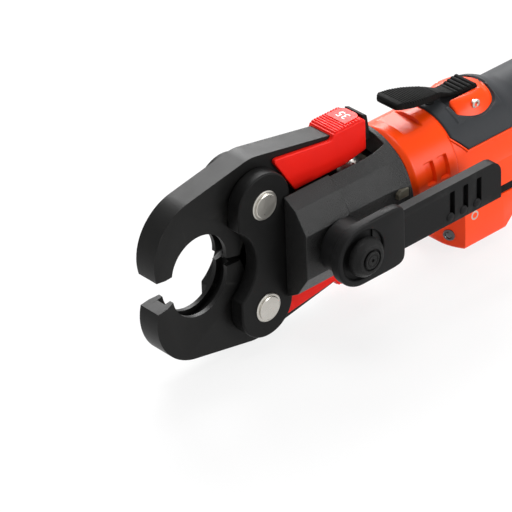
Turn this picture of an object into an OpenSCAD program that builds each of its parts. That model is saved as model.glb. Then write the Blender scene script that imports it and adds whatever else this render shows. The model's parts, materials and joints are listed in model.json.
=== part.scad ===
// In-line battery press tool: a swivelling fork, a pinned two-arm press jaw, a long barrel and a rear battery.
// The origin is the centre of the closed press mouth, on the tool axis.
// +X runs along the tool to the battery, +Z is the trigger side, the pipe that is pressed lies along Y.

/* [Press mouth] */
// Radius of the two pressing lands
land_r = 18.7; // [17:0.1:20]
// Radius of the bead groove between the lands
groove_r = 22.4; // [21:0.1:23.5]
// Width of the bead groove
groove_w = 6; // [4:0.5:7]
// Width of each pressing land
land_w = 2.6; // [1.5:0.1:3]
// Radius of the relief at both faces of an arm
relief_r = 24.5; // [23:0.5:25.5]

/* [Jaw] */
// How far each arm stands open at rest, in degrees
jaw_open = 8; // [6:0.5:9]
// Thickness of a jaw arm
arm_t = 14; // [12:0.5:16]
// Distance of the arm pivots behind the mouth
pivot_x = 32.5; // [31:0.5:35]
// Distance of each arm pivot from the tool axis
pivot_z = 31.2; // [30:0.2:33]
// Diameter of the pivot pins
pivot_d = 16.6; // [12:0.2:17]
// Radius of the round nose of an arm
nose_r = 30.3; // [29:0.1:32]
// Radius of an arm's shoulder round its pivot
shoulder_r = 24; // [22:0.5:26]
// Length of an arm's tail behind its pivot
tail_l = 60.5; // [58:0.5:62]
// Height of an arm's tail above its pivot
tail_h = 22; // [20:0.2:23]
// Thickness of a jaw side plate
plate_t = 9; // [6:0.5:9]
// Radius of a side plate's lobe round a pivot
lobe_r = 17.8; // [16:0.2:19]
// How far a pivot pin stands out of the side plates
pivot_proud = 1.8; // [0.5:0.1:3]
// Thickness of the walls of a tail grip
grip_wall = 2; // [1.5:0.1:3]
// Thickness of the end plate behind a tail grip
grip_plate_t = 3; // [2:0.2:4]

/* [Fork and mounting pin] */
// How far the head is turned on the barrel at rest, in degrees
head_roll = 0; // [-20:1:20]
// Distance of the mounting pin behind the mouth
pin_x = 68.5; // [67:0.5:70]
// Diameter of the mounting pin
pin_d = 14; // [10:0.5:15]
// Width of the fork across its flats
fork_w = 64.6; // [60:0.2:66]
// Height of the fork
fork_h = 64; // [60:0.5:66]
// Front end of the fork
fork_x = 45.5; // [44:0.5:47]
// Length of the fork's slot
slot_l = 73.5; // [72:0.5:75]
// Radius of the fork's neck
neck_r = 25; // [24.7:0.1:25.1]
// Radius of the pin's knob
knob_r = 11; // [9:0.5:13]
// Radius of the lock button in the knob
lock_button_r = 5; // [3.5:0.5:6]
// Travel of the lock button
lock_button_travel = 2; // [1:0.5:2.5]
// Half width of the lock lever's boss
boss_r = 18; // [16:0.5:20]
// Reach of the lock lever behind the pin
lever_l = 103.5; // [90:0.5:104]
// Thickness of the lock lever's arm
lever_t = 6; // [4:0.5:7]

/* [Ram] */
// Place of the roller axles at rest
roller_x = 107.6; // [107:0.2:109]
// Radius of a press roller
roller_r = 10; // [9:0.2:10.2]
// Distance of each roller axle from the tool axis
roller_z = 11; // [10.6:0.1:11.4]
// Diameter of a roller axle
axle_d = 8; // [6:0.5:9]
// Radius of the ram's rod
rod_r = 10; // [9:0.5:11]
// Radius of the piston and the cylinder bore
bore_r = 16; // [15.5:0.5:16.5]
// Ram travel from rest to the full press
press_travel = 17.6; // [17:0.1:17.6]
// Ram travel from rest to fully back
back_travel = 22; // [22:0.5:24]
// Wire diameter of the ram's return spring
spring_wire = 3; // [2.4:0.2:3.2]
// Turns of the ram's return spring
spring_turns = 5; // [4:1:5]

/* [Barrel] */
// Radius of the front collar
collar_r = 28.3; // [28:0.1:29]
// Front end of the collar
collar_x = 128.6; // [128:0.2:130]
// Rear end of the collar
barrel_x = 161.8; // [161:0.2:162]
// Radius of the barrel
barrel_r = 28; // [27.8:0.1:28.2]
// Wall of the barrel and the grip
wall = 2.6; // [2.2:0.1:2.6]
// Radius of the grip behind the barrel
grip_r = 22.6; // [22.5:0.1:24]
// Rear end of the barrel's full radius
barrel_end = 205; // [204:1:208]
// Rear end of the grip
grip_end = 352; // [350:1:354]
// Rear end of the shells
shell_end = 368; // [366:1:370]
// Radius of the shells at their rear end
flare_r = 34; // [32:0.5:36]
// Thickness of the soft overmould
overmould_t = 1.1; // [0.8:0.1:1.3]
// Half angle of the overmould about the top, in degrees
overmould_deg = 70; // [60:1:72]
// Depth of the keel's underside below the axis
keel_z = 52.5; // [51:0.5:54]
// Half width of the keel
keel_w = 27; // [26.5:0.5:27.5]

/* [Trigger and buttons] */
// Place of the trigger's cross pin along the tool
trigger_x = 187.7; // [187:0.1:188.4]
// Height of the trigger's cross pin
trigger_z = 26.6; // [26.5:0.1:26.8]
// Diameter of the trigger's cross pin
trigger_pin_d = 4; // [3:0.2:5]
// Width of the trigger's paddle
paddle_w = 19.6; // [18:0.2:20]
// Width of the trigger bracket
bracket_w = 38.2; // [37:0.2:39]
// Radius of the two push buttons
button_r = 5; // [4:0.25:5]
// Travel of the two push buttons
button_travel = 2; // [1:0.25:2]
// Place of the release button
release_x = 262; // [261:1:263]
// Place of the power button
power_x = 277; // [276:1:278]

/* [Battery] */
// Length of the battery's case
pack_l = 112; // [108:1:116]
// Width of the battery's case
pack_w = 78; // [78:0.5:80]
// Depth of the battery's case
pack_d = 63; // [62:0.5:68]
// Depth of the battery's base below the axis
pack_base = 57; // [55:0.5:58]
// Depth of the dock behind the shells
dock_d = 20; // [18:0.5:22]
// Radius of a battery cell
cell_r = 9.1; // [8.5:0.1:9.2]
// Length of a battery cell
cell_l = 65; // [60:0.5:66]
// Travel of the two battery latches
latch_travel = 3; // [1:0.5:3.5]

/* [Hidden] */
$fn = 48;

// Clearance of a running fit, on the radius
fit = 0.05;
// Gap between parts that move past each other
gap = 0.3;
// Overrun of every cut
over = 1;
// Straight steps in a drawn arc
arc_steps = 12;

// Jaw arm in its closed place
seam = 0.4;
nose = [-2.5, 12.5];
pivot = [pivot_x, pivot_z];
tail_corner_r = 9.5;
tail_end = pivot_x + tail_l;
tail_corner = [tail_end - tail_corner_r, pivot_z + tail_h - tail_corner_r];
cam_z = roller_z + roller_r + 2 * gap;
cam_lead = 9;
cam_rise = 3;
heel_r = 14.5;
throat_x = 27;
pocket_r = 13;
pocket_depth = 3.4;
jaw_spring_wire = 2.4;
tip_deg = 180 + asin((nose[1] - seam) / nose_r);
neck_deg = tangent_deg(nose, nose_r, pivot, shoulder_r);
back_deg = tangent_deg(pivot, shoulder_r, tail_corner, tail_corner_r);
heel_from_deg = 285;
heel_to_deg = 262;
plate_y = arm_t / 2 + gap;
jaw_half_w = plate_y + plate_t;

// Tail grip, level when the jaw stands at rest
grip_low = 6.2;
grip_front = 28;
grip_tip = 14.5;
grip_drop = 2.4;
grip_fillet = 3;
grip_slant = 64;
grip_slant_rise = 3;
grip_back = 79.5;
pad_high = 16.8;
pad_front = 56;
pad_bevel = 2.2;
grip_y = arm_t / 2 + gap;
grip_half_w = grip_y + grip_wall;
plate_low = 0;
plate_high = 16.4;
plate_fall = 1.2;
plate_foot = 4.9;
plate_waist = 5;

// Fork
slot_half = jaw_half_w + 0.7;
slot_end = fork_x + slot_l;
fork_flat_h = 26.4;
fork_corner = 24.4;
pad_x = 77;
pad_step = 1;
flange_l = 3.5;
flange_r = 35.4;
neck_end = barrel_x - 2.2;
neck_bore = 22.7;
web_back = 54.5;
web_h = 25;
mouth_gap_r = 26;
plate_boss_r = 15.5;
index_x = 110;
index_size = [7.5, 3.2, 5];
index_z = 13;

// Mounting pin, knob and lever
pin_far = fork_w / 2 + 4;
lever_face = 51.5;
boss_t = 6;
hub_r = 15;
hub_room = 0.8;
hub_in = fork_w / 2 + pad_step + hub_room;
boss_back = 30.5;
recess_r = 14.5;
recess_depth = 2.5;
lever_out = lever_face - 1.5;
lever_low = 10.5;
lever_high = 13.2;
lever_corner_r = 8;
lever_root = 8;
knob_out = 58;
knob_step = 1.2;
knob_step_share = 0.75;
stem_l = 4;
stem_r = lock_button_r - 1;
knob_lap = 1;
button_proud = 0.6;

// Ram, cylinder and drive
cheek_y = arm_t / 2 + gap;
cheek_t = 6;
cheek_nose_r = 6.8;
clevis_back = 18;
clevis_root = 10.6;
clevis_h = 18;
spring_room = 1;
piston_l = 12;
seal_w = 4;
seal_depth = 2;
seal_at_share = 0.35;
gland_x = barrel_x + 1;
gland_l = 9;
piston_x = gland_x + gland_l + spring_turns * spring_wire + spring_room + press_travel;
sleeve_x = 148.5;
sleeve_bore = 13;
cylinder_r = 19.8;
cylinder_cap = 8;
bore_room = 8;
cylinder_end = piston_x + piston_l + back_travel + bore_room + cylinder_cap;
cylinder_flange = 6;
spring_r = 13;
pump_end = 284;
pump_r = 15;
gearbox_end = 308;
gearbox_r = 19;
motor_end = 362;
motor_r = 18.5;
shaft_r = 2.5;
shaft_front = 14;
pinion_r = 4;
washer_t = neck_gap();

// Barrel, collar and keel
taper_l = 16;
collar_bore = 25.3;
window_front = 9.4;
window_back = 9.3;
window_w = 24;
window_z = 26;
bracket_front = 175;
bracket_back = 205;
bracket_top = 30.4;
bracket_slot = 16;
bracket_slot_back = 197.8;
bracket_fall_x = 198.6;
bracket_tail_z = 28.6;
pod_x = 189;
pod_run = 30;
pod_ridge = 13.5;
pod_ridge_z = 28.6;
pod_foot_z = 20.5;
pod_pocket = 4.3;
trigger_pin_half = 15;
keel_nose_x = 160;
keel_nose_w = 10;
keel_side_x = 168;
keel_end = 246;
keel_wall = 2.6;
keel_top = 7;
strip_high = 24;
strip_low = 29;
strip_in = 1;
hip_x = 162;
keel_rise_x = 200;
lens_r = 3.4;
lens_t = 3;
lens_z = 44.7;
lens_proud = 0.6;
stand_r = 3;
keel_screw_x = [175.4, 208];
keel_screw_z = 33.5;
screw_head_r = 3;
screw_head_t = 2;
screw_r = 1.4;
screw_l = 7;
board_t = 1.6;
board_size = [22, 34];
board_x = 174;
board_z = keel_z - keel_wall - 4;

// Trigger lever
paddle_x = 136;
paddle_end = 170;
paddle_top = 45.2;
paddle_drop = 8.7;
paddle_t = 4.6;
rear_pad_x = 178;
rear_pad_end = 196.8;
rear_pad_top = 33;
rear_pad_w = 15.2;
rear_pad_low = 29.6;
trigger_hub_r = 3.6;
lever_neck_drop = 0.8;
// Places along the trigger and the shares of the paddle's half width there
trigger_plan_x = [136, 139, 146, 155, 161, 166, 170, 174, 178, 181, 190, 196.8];
trigger_half_shares = [0.76, 0.94, 1, 0.92, 0.8, 0.67, 0.5, 0.42, 0.47, 0.58, 0.74, 0.775];
switch_r = 2.4;
switch_x = 168;
switch_top = 29.6;
flange_t = 1;
button_flange = 1.4;
button_rise = 1.4;
button_top = grip_r + overmould_t + button_rise;
button_room = 0.5;
button_low = pump_r + button_room + button_travel;
status_x = 292;
status_r = 3;

// Dock and battery
dock_w = 74;
dock_h = 100;
dock_z = -2;
dock_wall = 3;
dock_end = shell_end + dock_d;
pack_x = dock_end + gap;
rail_w = 44;
rail_t_w = 50;
rail_neck = 4;
rail_depth = 9;
rail_h = 84;
pack_wall = 2.8;
cell_gap = 0.8;
cell_pitch = 2 * cell_r + cell_gap;
cell_rows = 5;
cell_columns = 2;
contact_size = [7, 1.2, 20];
contact_y = [-12, -4, 4, 12];
latch_size = [20, 16];
latch_in = 1.6;
latch_x = 30;
latch_drop = 21;
latch_z = pack_l - pack_base - latch_drop;
latch_proud = 1.2;
case_r = 6;
dock_screw_y = 30;
dock_screw_z = 40;

function neck_gap() = barrel_x - neck_end - gap;
function arc(c, r, from, to) =
    [for (i = [0:arc_steps]) let (a = from + (to - from) * i / arc_steps) c + r * [cos(a), sin(a)]];
function tangent_deg(a, ra, b, rb) = atan2(b[1] - a[1], b[0] - a[0]) + acos((ra - rb) / norm(b - a));

// Places its children with the head's turn on the barrel
module on_head() {
    rotate([head_roll, 0, 0])
        children();
}

// An outline in x and z, drawn out along Y between two places
module slab(from, to) {
    translate([0, to, 0])
        rotate([90, 0, 0])
            linear_extrude(to - from)
                children();
}

// An outline in y and z, drawn out along X between two places
module bar(from, to) {
    translate([from, 0, 0])
        rotate([90, 0, 90])
            linear_extrude(to - from)
                children();
}

module rod_x(from, to, r) {
    translate([from, 0, 0])
        rotate([0, 90, 0])
            cylinder(h = to - from, r = r);
}

module rod_y(x, z, from, to, r) {
    translate([x, to, z])
        rotate([90, 0, 0])
            cylinder(h = to - from, r = r);
}

module rod_z(x, y, from, to, r) {
    translate([x, y, from])
        cylinder(h = to - from, r = r);
}

// A turned piece on the tool axis, from points of place and radius
module turned(points) {
    rotate([0, 90, 0])
        rotate_extrude()
            polygon([for (p = points) [p[1], p[0]]]);
}

module box(from, to) {
    translate(from)
        cube(to - from);
}

// A box with its four edges along X rounded
module round_box(from, to, r) {
    box([from[0], from[1] + r, from[2]], [to[0], to[1] - r, to[2]]);
    box([from[0], from[1], from[2] + r], [to[0], to[1], to[2] - r]);
    for (y = [from[1] + r, to[1] - r])
        for (z = [from[2] + r, to[2] - r])
            translate([0, y, z])
                rod_x(from[0], to[0], r);
}

// The upper arm's half of the jaw, turned about its pivot by an angle
module turned_about_pivot(angle) {
    translate([pivot_x, 0, pivot_z])
        rotate([0, angle, 0])
            children();
}

module lower_half() {
    mirror([0, 0, 1])
        children();
}

// Jaw arms
arm_outline = concat(
    arc(nose, nose_r, tip_deg, neck_deg),
    arc(pivot, shoulder_r, neck_deg, back_deg),
    arc(tail_corner, tail_corner_r, back_deg, 0),
    [[tail_end, cam_z + cam_rise], [tail_end - cam_lead, cam_z]],
    arc(pivot, heel_r, heel_from_deg, heel_to_deg),
    [[throat_x, seam]]);

module mouth_cut() {
    land_y = groove_w / 2 + land_w;
    face_y = arm_t / 2;
    side = [[groove_r, groove_w / 2], [land_r, groove_w / 2], [land_r, land_y], [relief_r, face_y],
        [relief_r, face_y + over]];
    rotate([90, 0, 0])
        rotate_extrude()
            polygon(concat([[0, face_y + over]], [[0, -face_y - over]],
                [for (i = [len(side) - 1:-1:0]) [side[i][0], -side[i][1]]], side));
}

module closed_arm() {
    difference() {
        slab(-arm_t / 2, arm_t / 2)
            polygon(arm_outline);
        mouth_cut();
        rod_y(pivot_x, pivot_z, -arm_t, arm_t, pivot_d / 2 + fit);
        rod_y(pivot_x, pivot_z, -arm_t, -arm_t / 2 + pocket_depth, pocket_r);
    }
}

module open_arm() {
    turned_about_pivot(jaw_open)
        translate([-pivot_x, 0, -pivot_z])
            closed_arm();
}

module jaw_arm_upper() {
    color("#2b2b2d")
        on_head()
            open_arm();
}

module jaw_arm_lower() {
    color("#2b2b2d")
        on_head()
            lower_half()
                open_arm();
}

// Red grips on the arms' tails
// Height of a grip's edge over its pivot, which runs along the arm's tail
function grip_edge(x) = (tail_h - grip_drop) / cos(jaw_open) - x * tan(jaw_open);

module grip_body() {
    bend_x = pad_front - grip_fillet;
    outline = concat([[grip_front, -grip_low], [grip_slant, -grip_low], [grip_back, grip_slant_rise - grip_low],
        [grip_back, pad_high - pad_bevel], [grip_back - pad_bevel, pad_high], [pad_front + pad_bevel / 2, pad_high]],
        arc([bend_x, grip_edge(bend_x) + grip_fillet], grip_fillet, 0, -90),
        [[grip_tip, grip_edge(grip_tip)]]);
    difference() {
        turned_about_pivot(0)
            slab(-grip_half_w, grip_half_w)
                polygon(outline);
        turned_about_pivot(jaw_open)
            box([-grip_front, -grip_y, -tail_h - grip_low], [tail_l + gap, grip_y, tail_h + gap]);
        turned_about_pivot(0)
            box([0, -grip_y, -tail_h], [grip_back - grip_wall, grip_y, grip_low]);
    }
}

module tail_grip_upper() {
    color("#d8261c")
        on_head()
            grip_body();
}

module tail_grip_lower() {
    color("#d8261c")
        on_head()
            lower_half()
                grip_body();
}

module end_plate() {
    outline = [[grip_back, plate_low], [grip_back + plate_foot, plate_low], [grip_back + plate_foot, plate_waist],
        [grip_back + grip_plate_t, plate_high - plate_fall], [grip_back, plate_high]];
    turned_about_pivot(0)
        slab(-arm_t / 2, arm_t / 2)
            polygon(outline);
}

module grip_plate_upper() {
    color("#232325")
        on_head()
            end_plate();
}

module grip_plate_lower() {
    color("#232325")
        on_head()
            lower_half()
                end_plate();
}

// Side plates, pivot pins and springs of the jaw
module side_plate(from, to) {
    difference() {
        union() {
            for (side = [-1, 1])
                rod_y(pivot_x, side * pivot_z, from, to, lobe_r);
            box([pivot_x - lobe_r, from, -pivot_z], [pivot_x, to, pivot_z]);
            box([pivot_x - over, from, -web_h], [web_back, to, web_h]);
            box([pivot_x - over, from, -plate_boss_r], [pin_x, to, plate_boss_r]);
            rod_y(pin_x, 0, from, to, plate_boss_r);
        }
        rod_y(0, 0, from - over, to + over, mouth_gap_r);
        for (side = [-1, 1])
            rod_y(pivot_x, side * pivot_z, from - over, to + over, pivot_d / 2 + fit);
        rod_y(pin_x, 0, from - over, to + over, pin_d / 2 + fit);
    }
}

module jaw_plate_near() {
    color("#1f1f21")
        on_head()
            side_plate(-jaw_half_w, -plate_y);
}

module jaw_plate_far() {
    color("#1f1f21")
        on_head()
            side_plate(plate_y, jaw_half_w);
}

module pivot_pin(z) {
    reach = jaw_half_w + pivot_proud;
    rod_y(pivot_x, z, -reach, reach, pivot_d / 2);
}

module pivot_pin_upper() {
    color("#c9c7c0")
        on_head()
            pivot_pin(pivot_z);
}

module pivot_pin_lower() {
    color("#c9c7c0")
        on_head()
            pivot_pin(-pivot_z);
}

module jaw_springs() {
    middle = (pivot_d / 2 + pocket_r) / 2;
    color("#8d8f92")
        on_head()
            for (side = [-1, 1])
                translate([pivot_x, -plate_y + jaw_spring_wire / 2 + gap / 2, side * pivot_z])
                    rotate([90, 0, 0])
                        rotate_extrude()
                            translate([middle, 0])
                                circle(r = jaw_spring_wire / 2);
}

// Fork
module fork_section(grow) {
    half_w = fork_w / 2 + grow;
    half_h = fork_h / 2 + grow;
    edge = fork_flat_h / 2;
    corner = fork_corner + grow;
    quarter = [[half_w, edge], [corner, corner], [edge, half_h]];
    polygon(concat(quarter, [for (i = [2:-1:0]) [-quarter[i][0], quarter[i][1]]],
        [for (p = quarter) -p], [for (i = [2:-1:0]) [quarter[i][0], -quarter[i][1]]]));
}

module fork() {
    color("#4a4a4c")
        on_head()
            difference() {
                union() {
                    bar(fork_x, slot_end)
                        fork_section(0);
                    bar(fork_x, pad_x)
                        fork_section(pad_step);
                    rod_x(slot_end - over, neck_end, neck_r);
                    rod_x(slot_end - over, slot_end - over + flange_l, flange_r);
                }
                box([fork_x - over, -slot_half, -fork_h], [slot_end, slot_half, fork_h]);
                rod_x(slot_end - over, neck_end + over, neck_bore);
                rod_y(pin_x, 0, -fork_w, fork_w, pin_d / 2 + fit);
            }
}

module index_tab() {
    y = -fork_w / 2;
    color("#b9b6ae")
        on_head()
            box([index_x, y - index_size[1], index_z - index_size[2]], [index_x + index_size[0], y, index_z]);
}

// Mounting pin with its knob, lock button and lever
module mounting_pin() {
    stem = knob_out - knob_step;
    color("#8f9194")
        on_head()
            difference() {
                rod_y(pin_x, 0, -lever_face, pin_far, pin_d / 2);
                rod_y(pin_x, 0, -stem, -lever_face + stem_l + gap, stem_r + fit);
            }
}

module pin_knob() {
    color("#1b1b1d")
        on_head()
            difference() {
                union() {
                    rod_y(pin_x, 0, -knob_out + knob_step, -lever_face, knob_r);
                    rod_y(pin_x, 0, -knob_out, -lever_face, knob_r * knob_step_share);
                }
                rod_y(pin_x, 0, -knob_out - over, -lever_face + over, lock_button_r + fit);
            }
}

module lock_button() {
    color("#2f2f31")
        on_head() {
            rod_y(pin_x, 0, -knob_out - button_proud, -lever_face - lock_button_travel - gap, lock_button_r);
            rod_y(pin_x, 0, -knob_out, -lever_face + stem_l - lock_button_travel, stem_r);
        }
}

module lock_lever() {
    color("#333335")
        on_head()
            difference() {
                union() {
                    rod_y(pin_x, 0, -lever_face, -lever_face + boss_t, boss_r);
                    box([pin_x, -lever_face, -boss_r], [pin_x + boss_back, -lever_face + boss_t, boss_r]);
                    rod_y(pin_x, 0, -lever_face + boss_t - over, -hub_in, hub_r);
                    box([pin_x + lever_root, -lever_out, -lever_low],
                        [pin_x + lever_l - lever_corner_r, -lever_out + lever_t, lever_high]);
                    box([pin_x + lever_root, -lever_out, -lever_low],
                        [pin_x + lever_l, -lever_out + lever_t, lever_high - lever_corner_r]);
                    rod_y(pin_x + lever_l - lever_corner_r, lever_high - lever_corner_r,
                        -lever_out, -lever_out + lever_t, lever_corner_r);
                }
                rod_y(pin_x, 0, -lever_face - over, 0, pin_d / 2 + fit);
                difference() {
                    rod_y(pin_x, 0, -lever_face - over, -lever_face + recess_depth, recess_r);
                    rod_y(pin_x, 0, -lever_face - over, -lever_face + recess_depth + over, knob_r - knob_lap);
                }
                rod_y(pin_x, 0, -lever_face - over, -lever_face + gap, recess_r);
            }
}

// Ram with its rollers
module ram() {
    color("#9a9c9f")
        on_head()
            difference() {
                union() {
                    for (side = [-1, 1]) {
                        from = side > 0 ? cheek_y : -cheek_y - cheek_t;
                        for (z = [-roller_z, roller_z])
                            rod_y(roller_x, z, from, from + cheek_t, cheek_nose_r);
                        box([roller_x, from, -clevis_h], [roller_x + clevis_back, from + cheek_t, clevis_h]);
                    }
                    box([roller_x + clevis_root, -cheek_y - cheek_t, -clevis_h],
                        [roller_x + clevis_back, cheek_y + cheek_t, clevis_h]);
                    rod_x(roller_x + clevis_root, piston_x + piston_l, rod_r);
                    rod_x(piston_x, piston_x + piston_l, bore_r - fit);
                }
                for (z = [-roller_z, roller_z])
                    rod_y(roller_x, z, -bore_r, bore_r, axle_d / 2 + fit);
                difference() {
                    rod_x(seal_from(), seal_from() + seal_w, bore_r + over);
                    rod_x(seal_from() - over, seal_from() + seal_w + over, bore_r - seal_depth);
                }
            }
}

function seal_from() = piston_x + piston_l * seal_at_share;

module piston_seal() {
    color("#151515")
        on_head()
            difference() {
                rod_x(seal_from(), seal_from() + seal_w, bore_r - fit);
                rod_x(seal_from() - over, seal_from() + seal_w + over, bore_r - seal_depth);
            }
}

module press_roller(z) {
    difference() {
        rod_y(roller_x, z, -arm_t / 2, arm_t / 2, roller_r);
        rod_y(roller_x, z, -arm_t, arm_t, axle_d / 2 + fit);
    }
}

module press_roller_upper() {
    color("#b4b5b7")
        on_head()
            press_roller(roller_z);
}

module press_roller_lower() {
    color("#b4b5b7")
        on_head()
            press_roller(-roller_z);
}

module roller_axles() {
    reach = cheek_y + cheek_t;
    color("#77797c")
        on_head()
            for (z = [-roller_z, roller_z])
                rod_y(roller_x, z, -reach, reach, axle_d / 2);
}

// Hydraulic cylinder
module return_spring() {
    from = gland_x + gland_l + spring_wire / 2;
    length = piston_x - from - spring_wire / 2;
    sides = 6;
    rings = 8 * spring_turns;
    points = [for (i = [0:rings]) let (turn = 360 * spring_turns * i / rings) for (k = [0:sides - 1])
        let (a = 360 * k / sides, r = spring_r + spring_wire / 2 * cos(a))
            [from + length * i / rings + spring_wire / 2 * sin(a), r * cos(turn), r * sin(turn)]];
    walls = [for (i = [0:rings - 1]) for (k = [0:sides - 1]) let (n = (k + 1) % sides)
        each [[i * sides + k, i * sides + n, (i + 1) * sides + n],
            [i * sides + k, (i + 1) * sides + n, (i + 1) * sides + k]]];
    ends = [for (k = [1:sides - 2]) each [[0, k + 1, k],
        [rings * sides, rings * sides + k, rings * sides + k + 1]]];
    color("#7d7f82")
        polyhedron(points, concat(walls, ends));
}

module thrust_washer() {
    color("#a7864a")
        difference() {
            rod_x(neck_end + gap / 2, neck_end + gap / 2 + washer_t, neck_r);
            rod_x(neck_end, barrel_x, neck_bore);
        }
}

module press_cylinder() {
    inner = barrel_r - wall;
    color("#8b8d90")
        difference() {
            union() {
                rod_x(sleeve_x, barrel_x, neck_bore - fit);
                rod_x(barrel_x, barrel_x + cylinder_flange, inner - fit);
                rod_x(barrel_x, cylinder_end, cylinder_r);
            }
            rod_x(sleeve_x - over, gland_x, sleeve_bore);
            rod_x(barrel_x, cylinder_end - cylinder_cap, bore_r);
        }
}

module cylinder_gland() {
    color("#b08d45")
        difference() {
            rod_x(gland_x, gland_x + gland_l, bore_r - fit);
            rod_x(gland_x - over, gland_x + gland_l + over, rod_r + fit);
        }
}

// Barrel
module front_collar() {
    color("#e5431c")
        difference() {
            rod_x(collar_x, barrel_x, collar_r);
            rod_x(collar_x - over, barrel_x + over, collar_bore);
            box([collar_x + window_front, -window_w / 2, window_z],
                [barrel_x - window_back, window_w / 2, collar_r + over]);
        }
}

shell_profile = [[barrel_x, barrel_r], [barrel_end, barrel_r], [barrel_end + taper_l, grip_r],
    [grip_end, grip_r], [shell_end, flare_r]];

module shell_skin(out, in) {
    turned(concat([for (p = shell_profile) [p[0], p[1] + out]],
        [for (i = [len(shell_profile) - 1:-1:0]) [shell_profile[i][0], shell_profile[i][1] - in]]));
}

module shell_half(side) {
    reach = barrel_r + flare_r;
    low = side > 0 ? 0 : -reach;
    difference() {
        intersection() {
            shell_skin(0, wall);
            box([barrel_x - over, low, -reach], [shell_end + over, low + reach, reach]);
        }
        for (x = [release_x, power_x])
            rod_z(x, 0, 0, reach, button_r + gap);
        rod_z(status_x, 0, 0, reach, status_r + fit);
        trigger_room();
    }
}

// Room in the barrel's top for the trigger's hub and its cross pin
module trigger_room() {
    half = bracket_slot / 2;
    box([trigger_x - pod_pocket, -half, trigger_z - pod_pocket], [trigger_x + pod_pocket, half, bracket_top]);
    rod_y(trigger_x, trigger_z, -trigger_pin_half - gap, trigger_pin_half + gap, trigger_pin_d / 2 + fit);
}

module shell_near() {
    color("#e5431c")
        shell_half(-1);
}

module shell_far() {
    color("#e5431c")
        shell_half(1);
}

// Half width of the trigger bracket along the tool, and its outline in plan, grown by a margin
function pod_half(x) = bracket_w / 2 * (1 - pow((x - pod_x) / pod_run, 2));

function pod(grow) =
    let (run = bracket_back - bracket_front + 2 * grow,
        xs = [for (i = [0:arc_steps]) bracket_front - grow + run * i / arc_steps])
    concat([for (x = xs) [x, -pod_half(x) - grow]],
        [for (i = [arc_steps:-1:0]) [xs[i], pod_half(xs[i]) + grow]]);

module overmould() {
    reach = 2 * barrel_r;
    wedge = reach * tan(overmould_deg);
    color("#3f4144")
        difference() {
            intersection() {
                turned(concat([for (p = shell_profile) [p[0], p[1] + overmould_t]],
                    [for (i = [len(shell_profile) - 1:-1:0]) [shell_profile[i][0], shell_profile[i][1] + fit]]));
                bar(barrel_x, grip_end)
                    polygon([[0, 0], [wedge, reach], [-wedge, reach]]);
            }
            linear_extrude(reach)
                polygon(pod(gap));
            for (x = [release_x, power_x])
                rod_z(x, 0, 0, reach, button_r + gap);
            rod_z(status_x, 0, 0, reach, status_r + fit);
            rod_z(switch_x, 0, 0, reach, switch_r + fit);
        }
}

// Trigger
module trigger_bracket() {
    fall = [[bracket_fall_x, bracket_top + over], [bracket_fall_x, bracket_top], [bracket_back, bracket_tail_z],
        [bracket_back + over, bracket_tail_z], [bracket_back + over, bracket_top + over]];
    flank = [[bracket_w / 2, 0], [bracket_w / 2, pod_foot_z], [pod_ridge, pod_ridge_z],
        [bracket_slot / 2, bracket_top]];
    color("#ea4a1a")
        difference() {
            intersection() {
                linear_extrude(bracket_top)
                    polygon(pod(0));
                bar(bracket_front - over, bracket_back + over)
                    polygon(concat(flank, [for (i = [len(flank) - 1:-1:0]) [-flank[i][0], flank[i][1]]]));
            }
            slab(-bracket_w, bracket_w)
                polygon(fall);
            rod_x(bracket_front - over, bracket_back + over, barrel_r + fit);
            box([bracket_front - over, -bracket_slot / 2, 0],
                [bracket_slot_back, bracket_slot / 2, bracket_top + over]);
            rod_y(trigger_x, trigger_z, -bracket_w, bracket_w, trigger_pin_d / 2 + fit);
        }
}

// The trigger's outline in plan
trigger_half = [for (share = trigger_half_shares) share * paddle_w / 2];
trigger_last = len(trigger_plan_x) - 1;
trigger_outline = concat([for (i = [0:trigger_last]) [trigger_plan_x[i], -trigger_half[i]]],
    [for (i = [trigger_last:-1:0]) [trigger_plan_x[i], trigger_half[i]]]);

module trigger_lever() {
    hub_half = rear_pad_w / 2 - over;
    paddle = [[paddle_x, paddle_top], [paddle_end, paddle_top - paddle_drop],
        [paddle_end, paddle_top - paddle_drop - paddle_t], [paddle_x, paddle_top - paddle_t]];
    rear = [[paddle_end - over, paddle_top - paddle_drop - over], [rear_pad_x, rear_pad_top - lever_neck_drop],
        [rear_pad_x, rear_pad_top], [rear_pad_end, rear_pad_top], [rear_pad_end, rear_pad_low],
        [rear_pad_x, rear_pad_low], [paddle_end - over, paddle_top - paddle_drop - paddle_t]];
    color("#1a1a1b")
        difference() {
            union() {
                intersection() {
                    linear_extrude(paddle_top + over)
                        polygon(trigger_outline);
                    union() {
                        slab(-paddle_w, paddle_w)
                            polygon(paddle);
                        slab(-paddle_w, paddle_w)
                            polygon(rear);
                    }
                }
                rod_y(trigger_x, trigger_z, -hub_half, hub_half, trigger_hub_r);
            }
            rod_y(trigger_x, trigger_z, -paddle_w, paddle_w, trigger_pin_d / 2 + fit);
        }
}

module trigger_pin() {
    color("#d5d5d2")
        rod_y(trigger_x, trigger_z, -trigger_pin_half, trigger_pin_half, trigger_pin_d / 2);
}

module trigger_switch() {
    color("#202022")
        rod_z(switch_x, 0, barrel_r + fit, switch_top, switch_r);
}

// Keel with the work light
keel_plan = [[keel_nose_x, keel_nose_w], [keel_side_x, keel_w], [keel_end, keel_w]];
strip_plan = [[hip_x, keel_nose_w], [keel_side_x, keel_w - strip_in], [keel_end, keel_w - strip_in]];
hip_plan = [[hip_x, keel_nose_w], [keel_side_x, keel_w], [keel_end, keel_w]];

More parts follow.
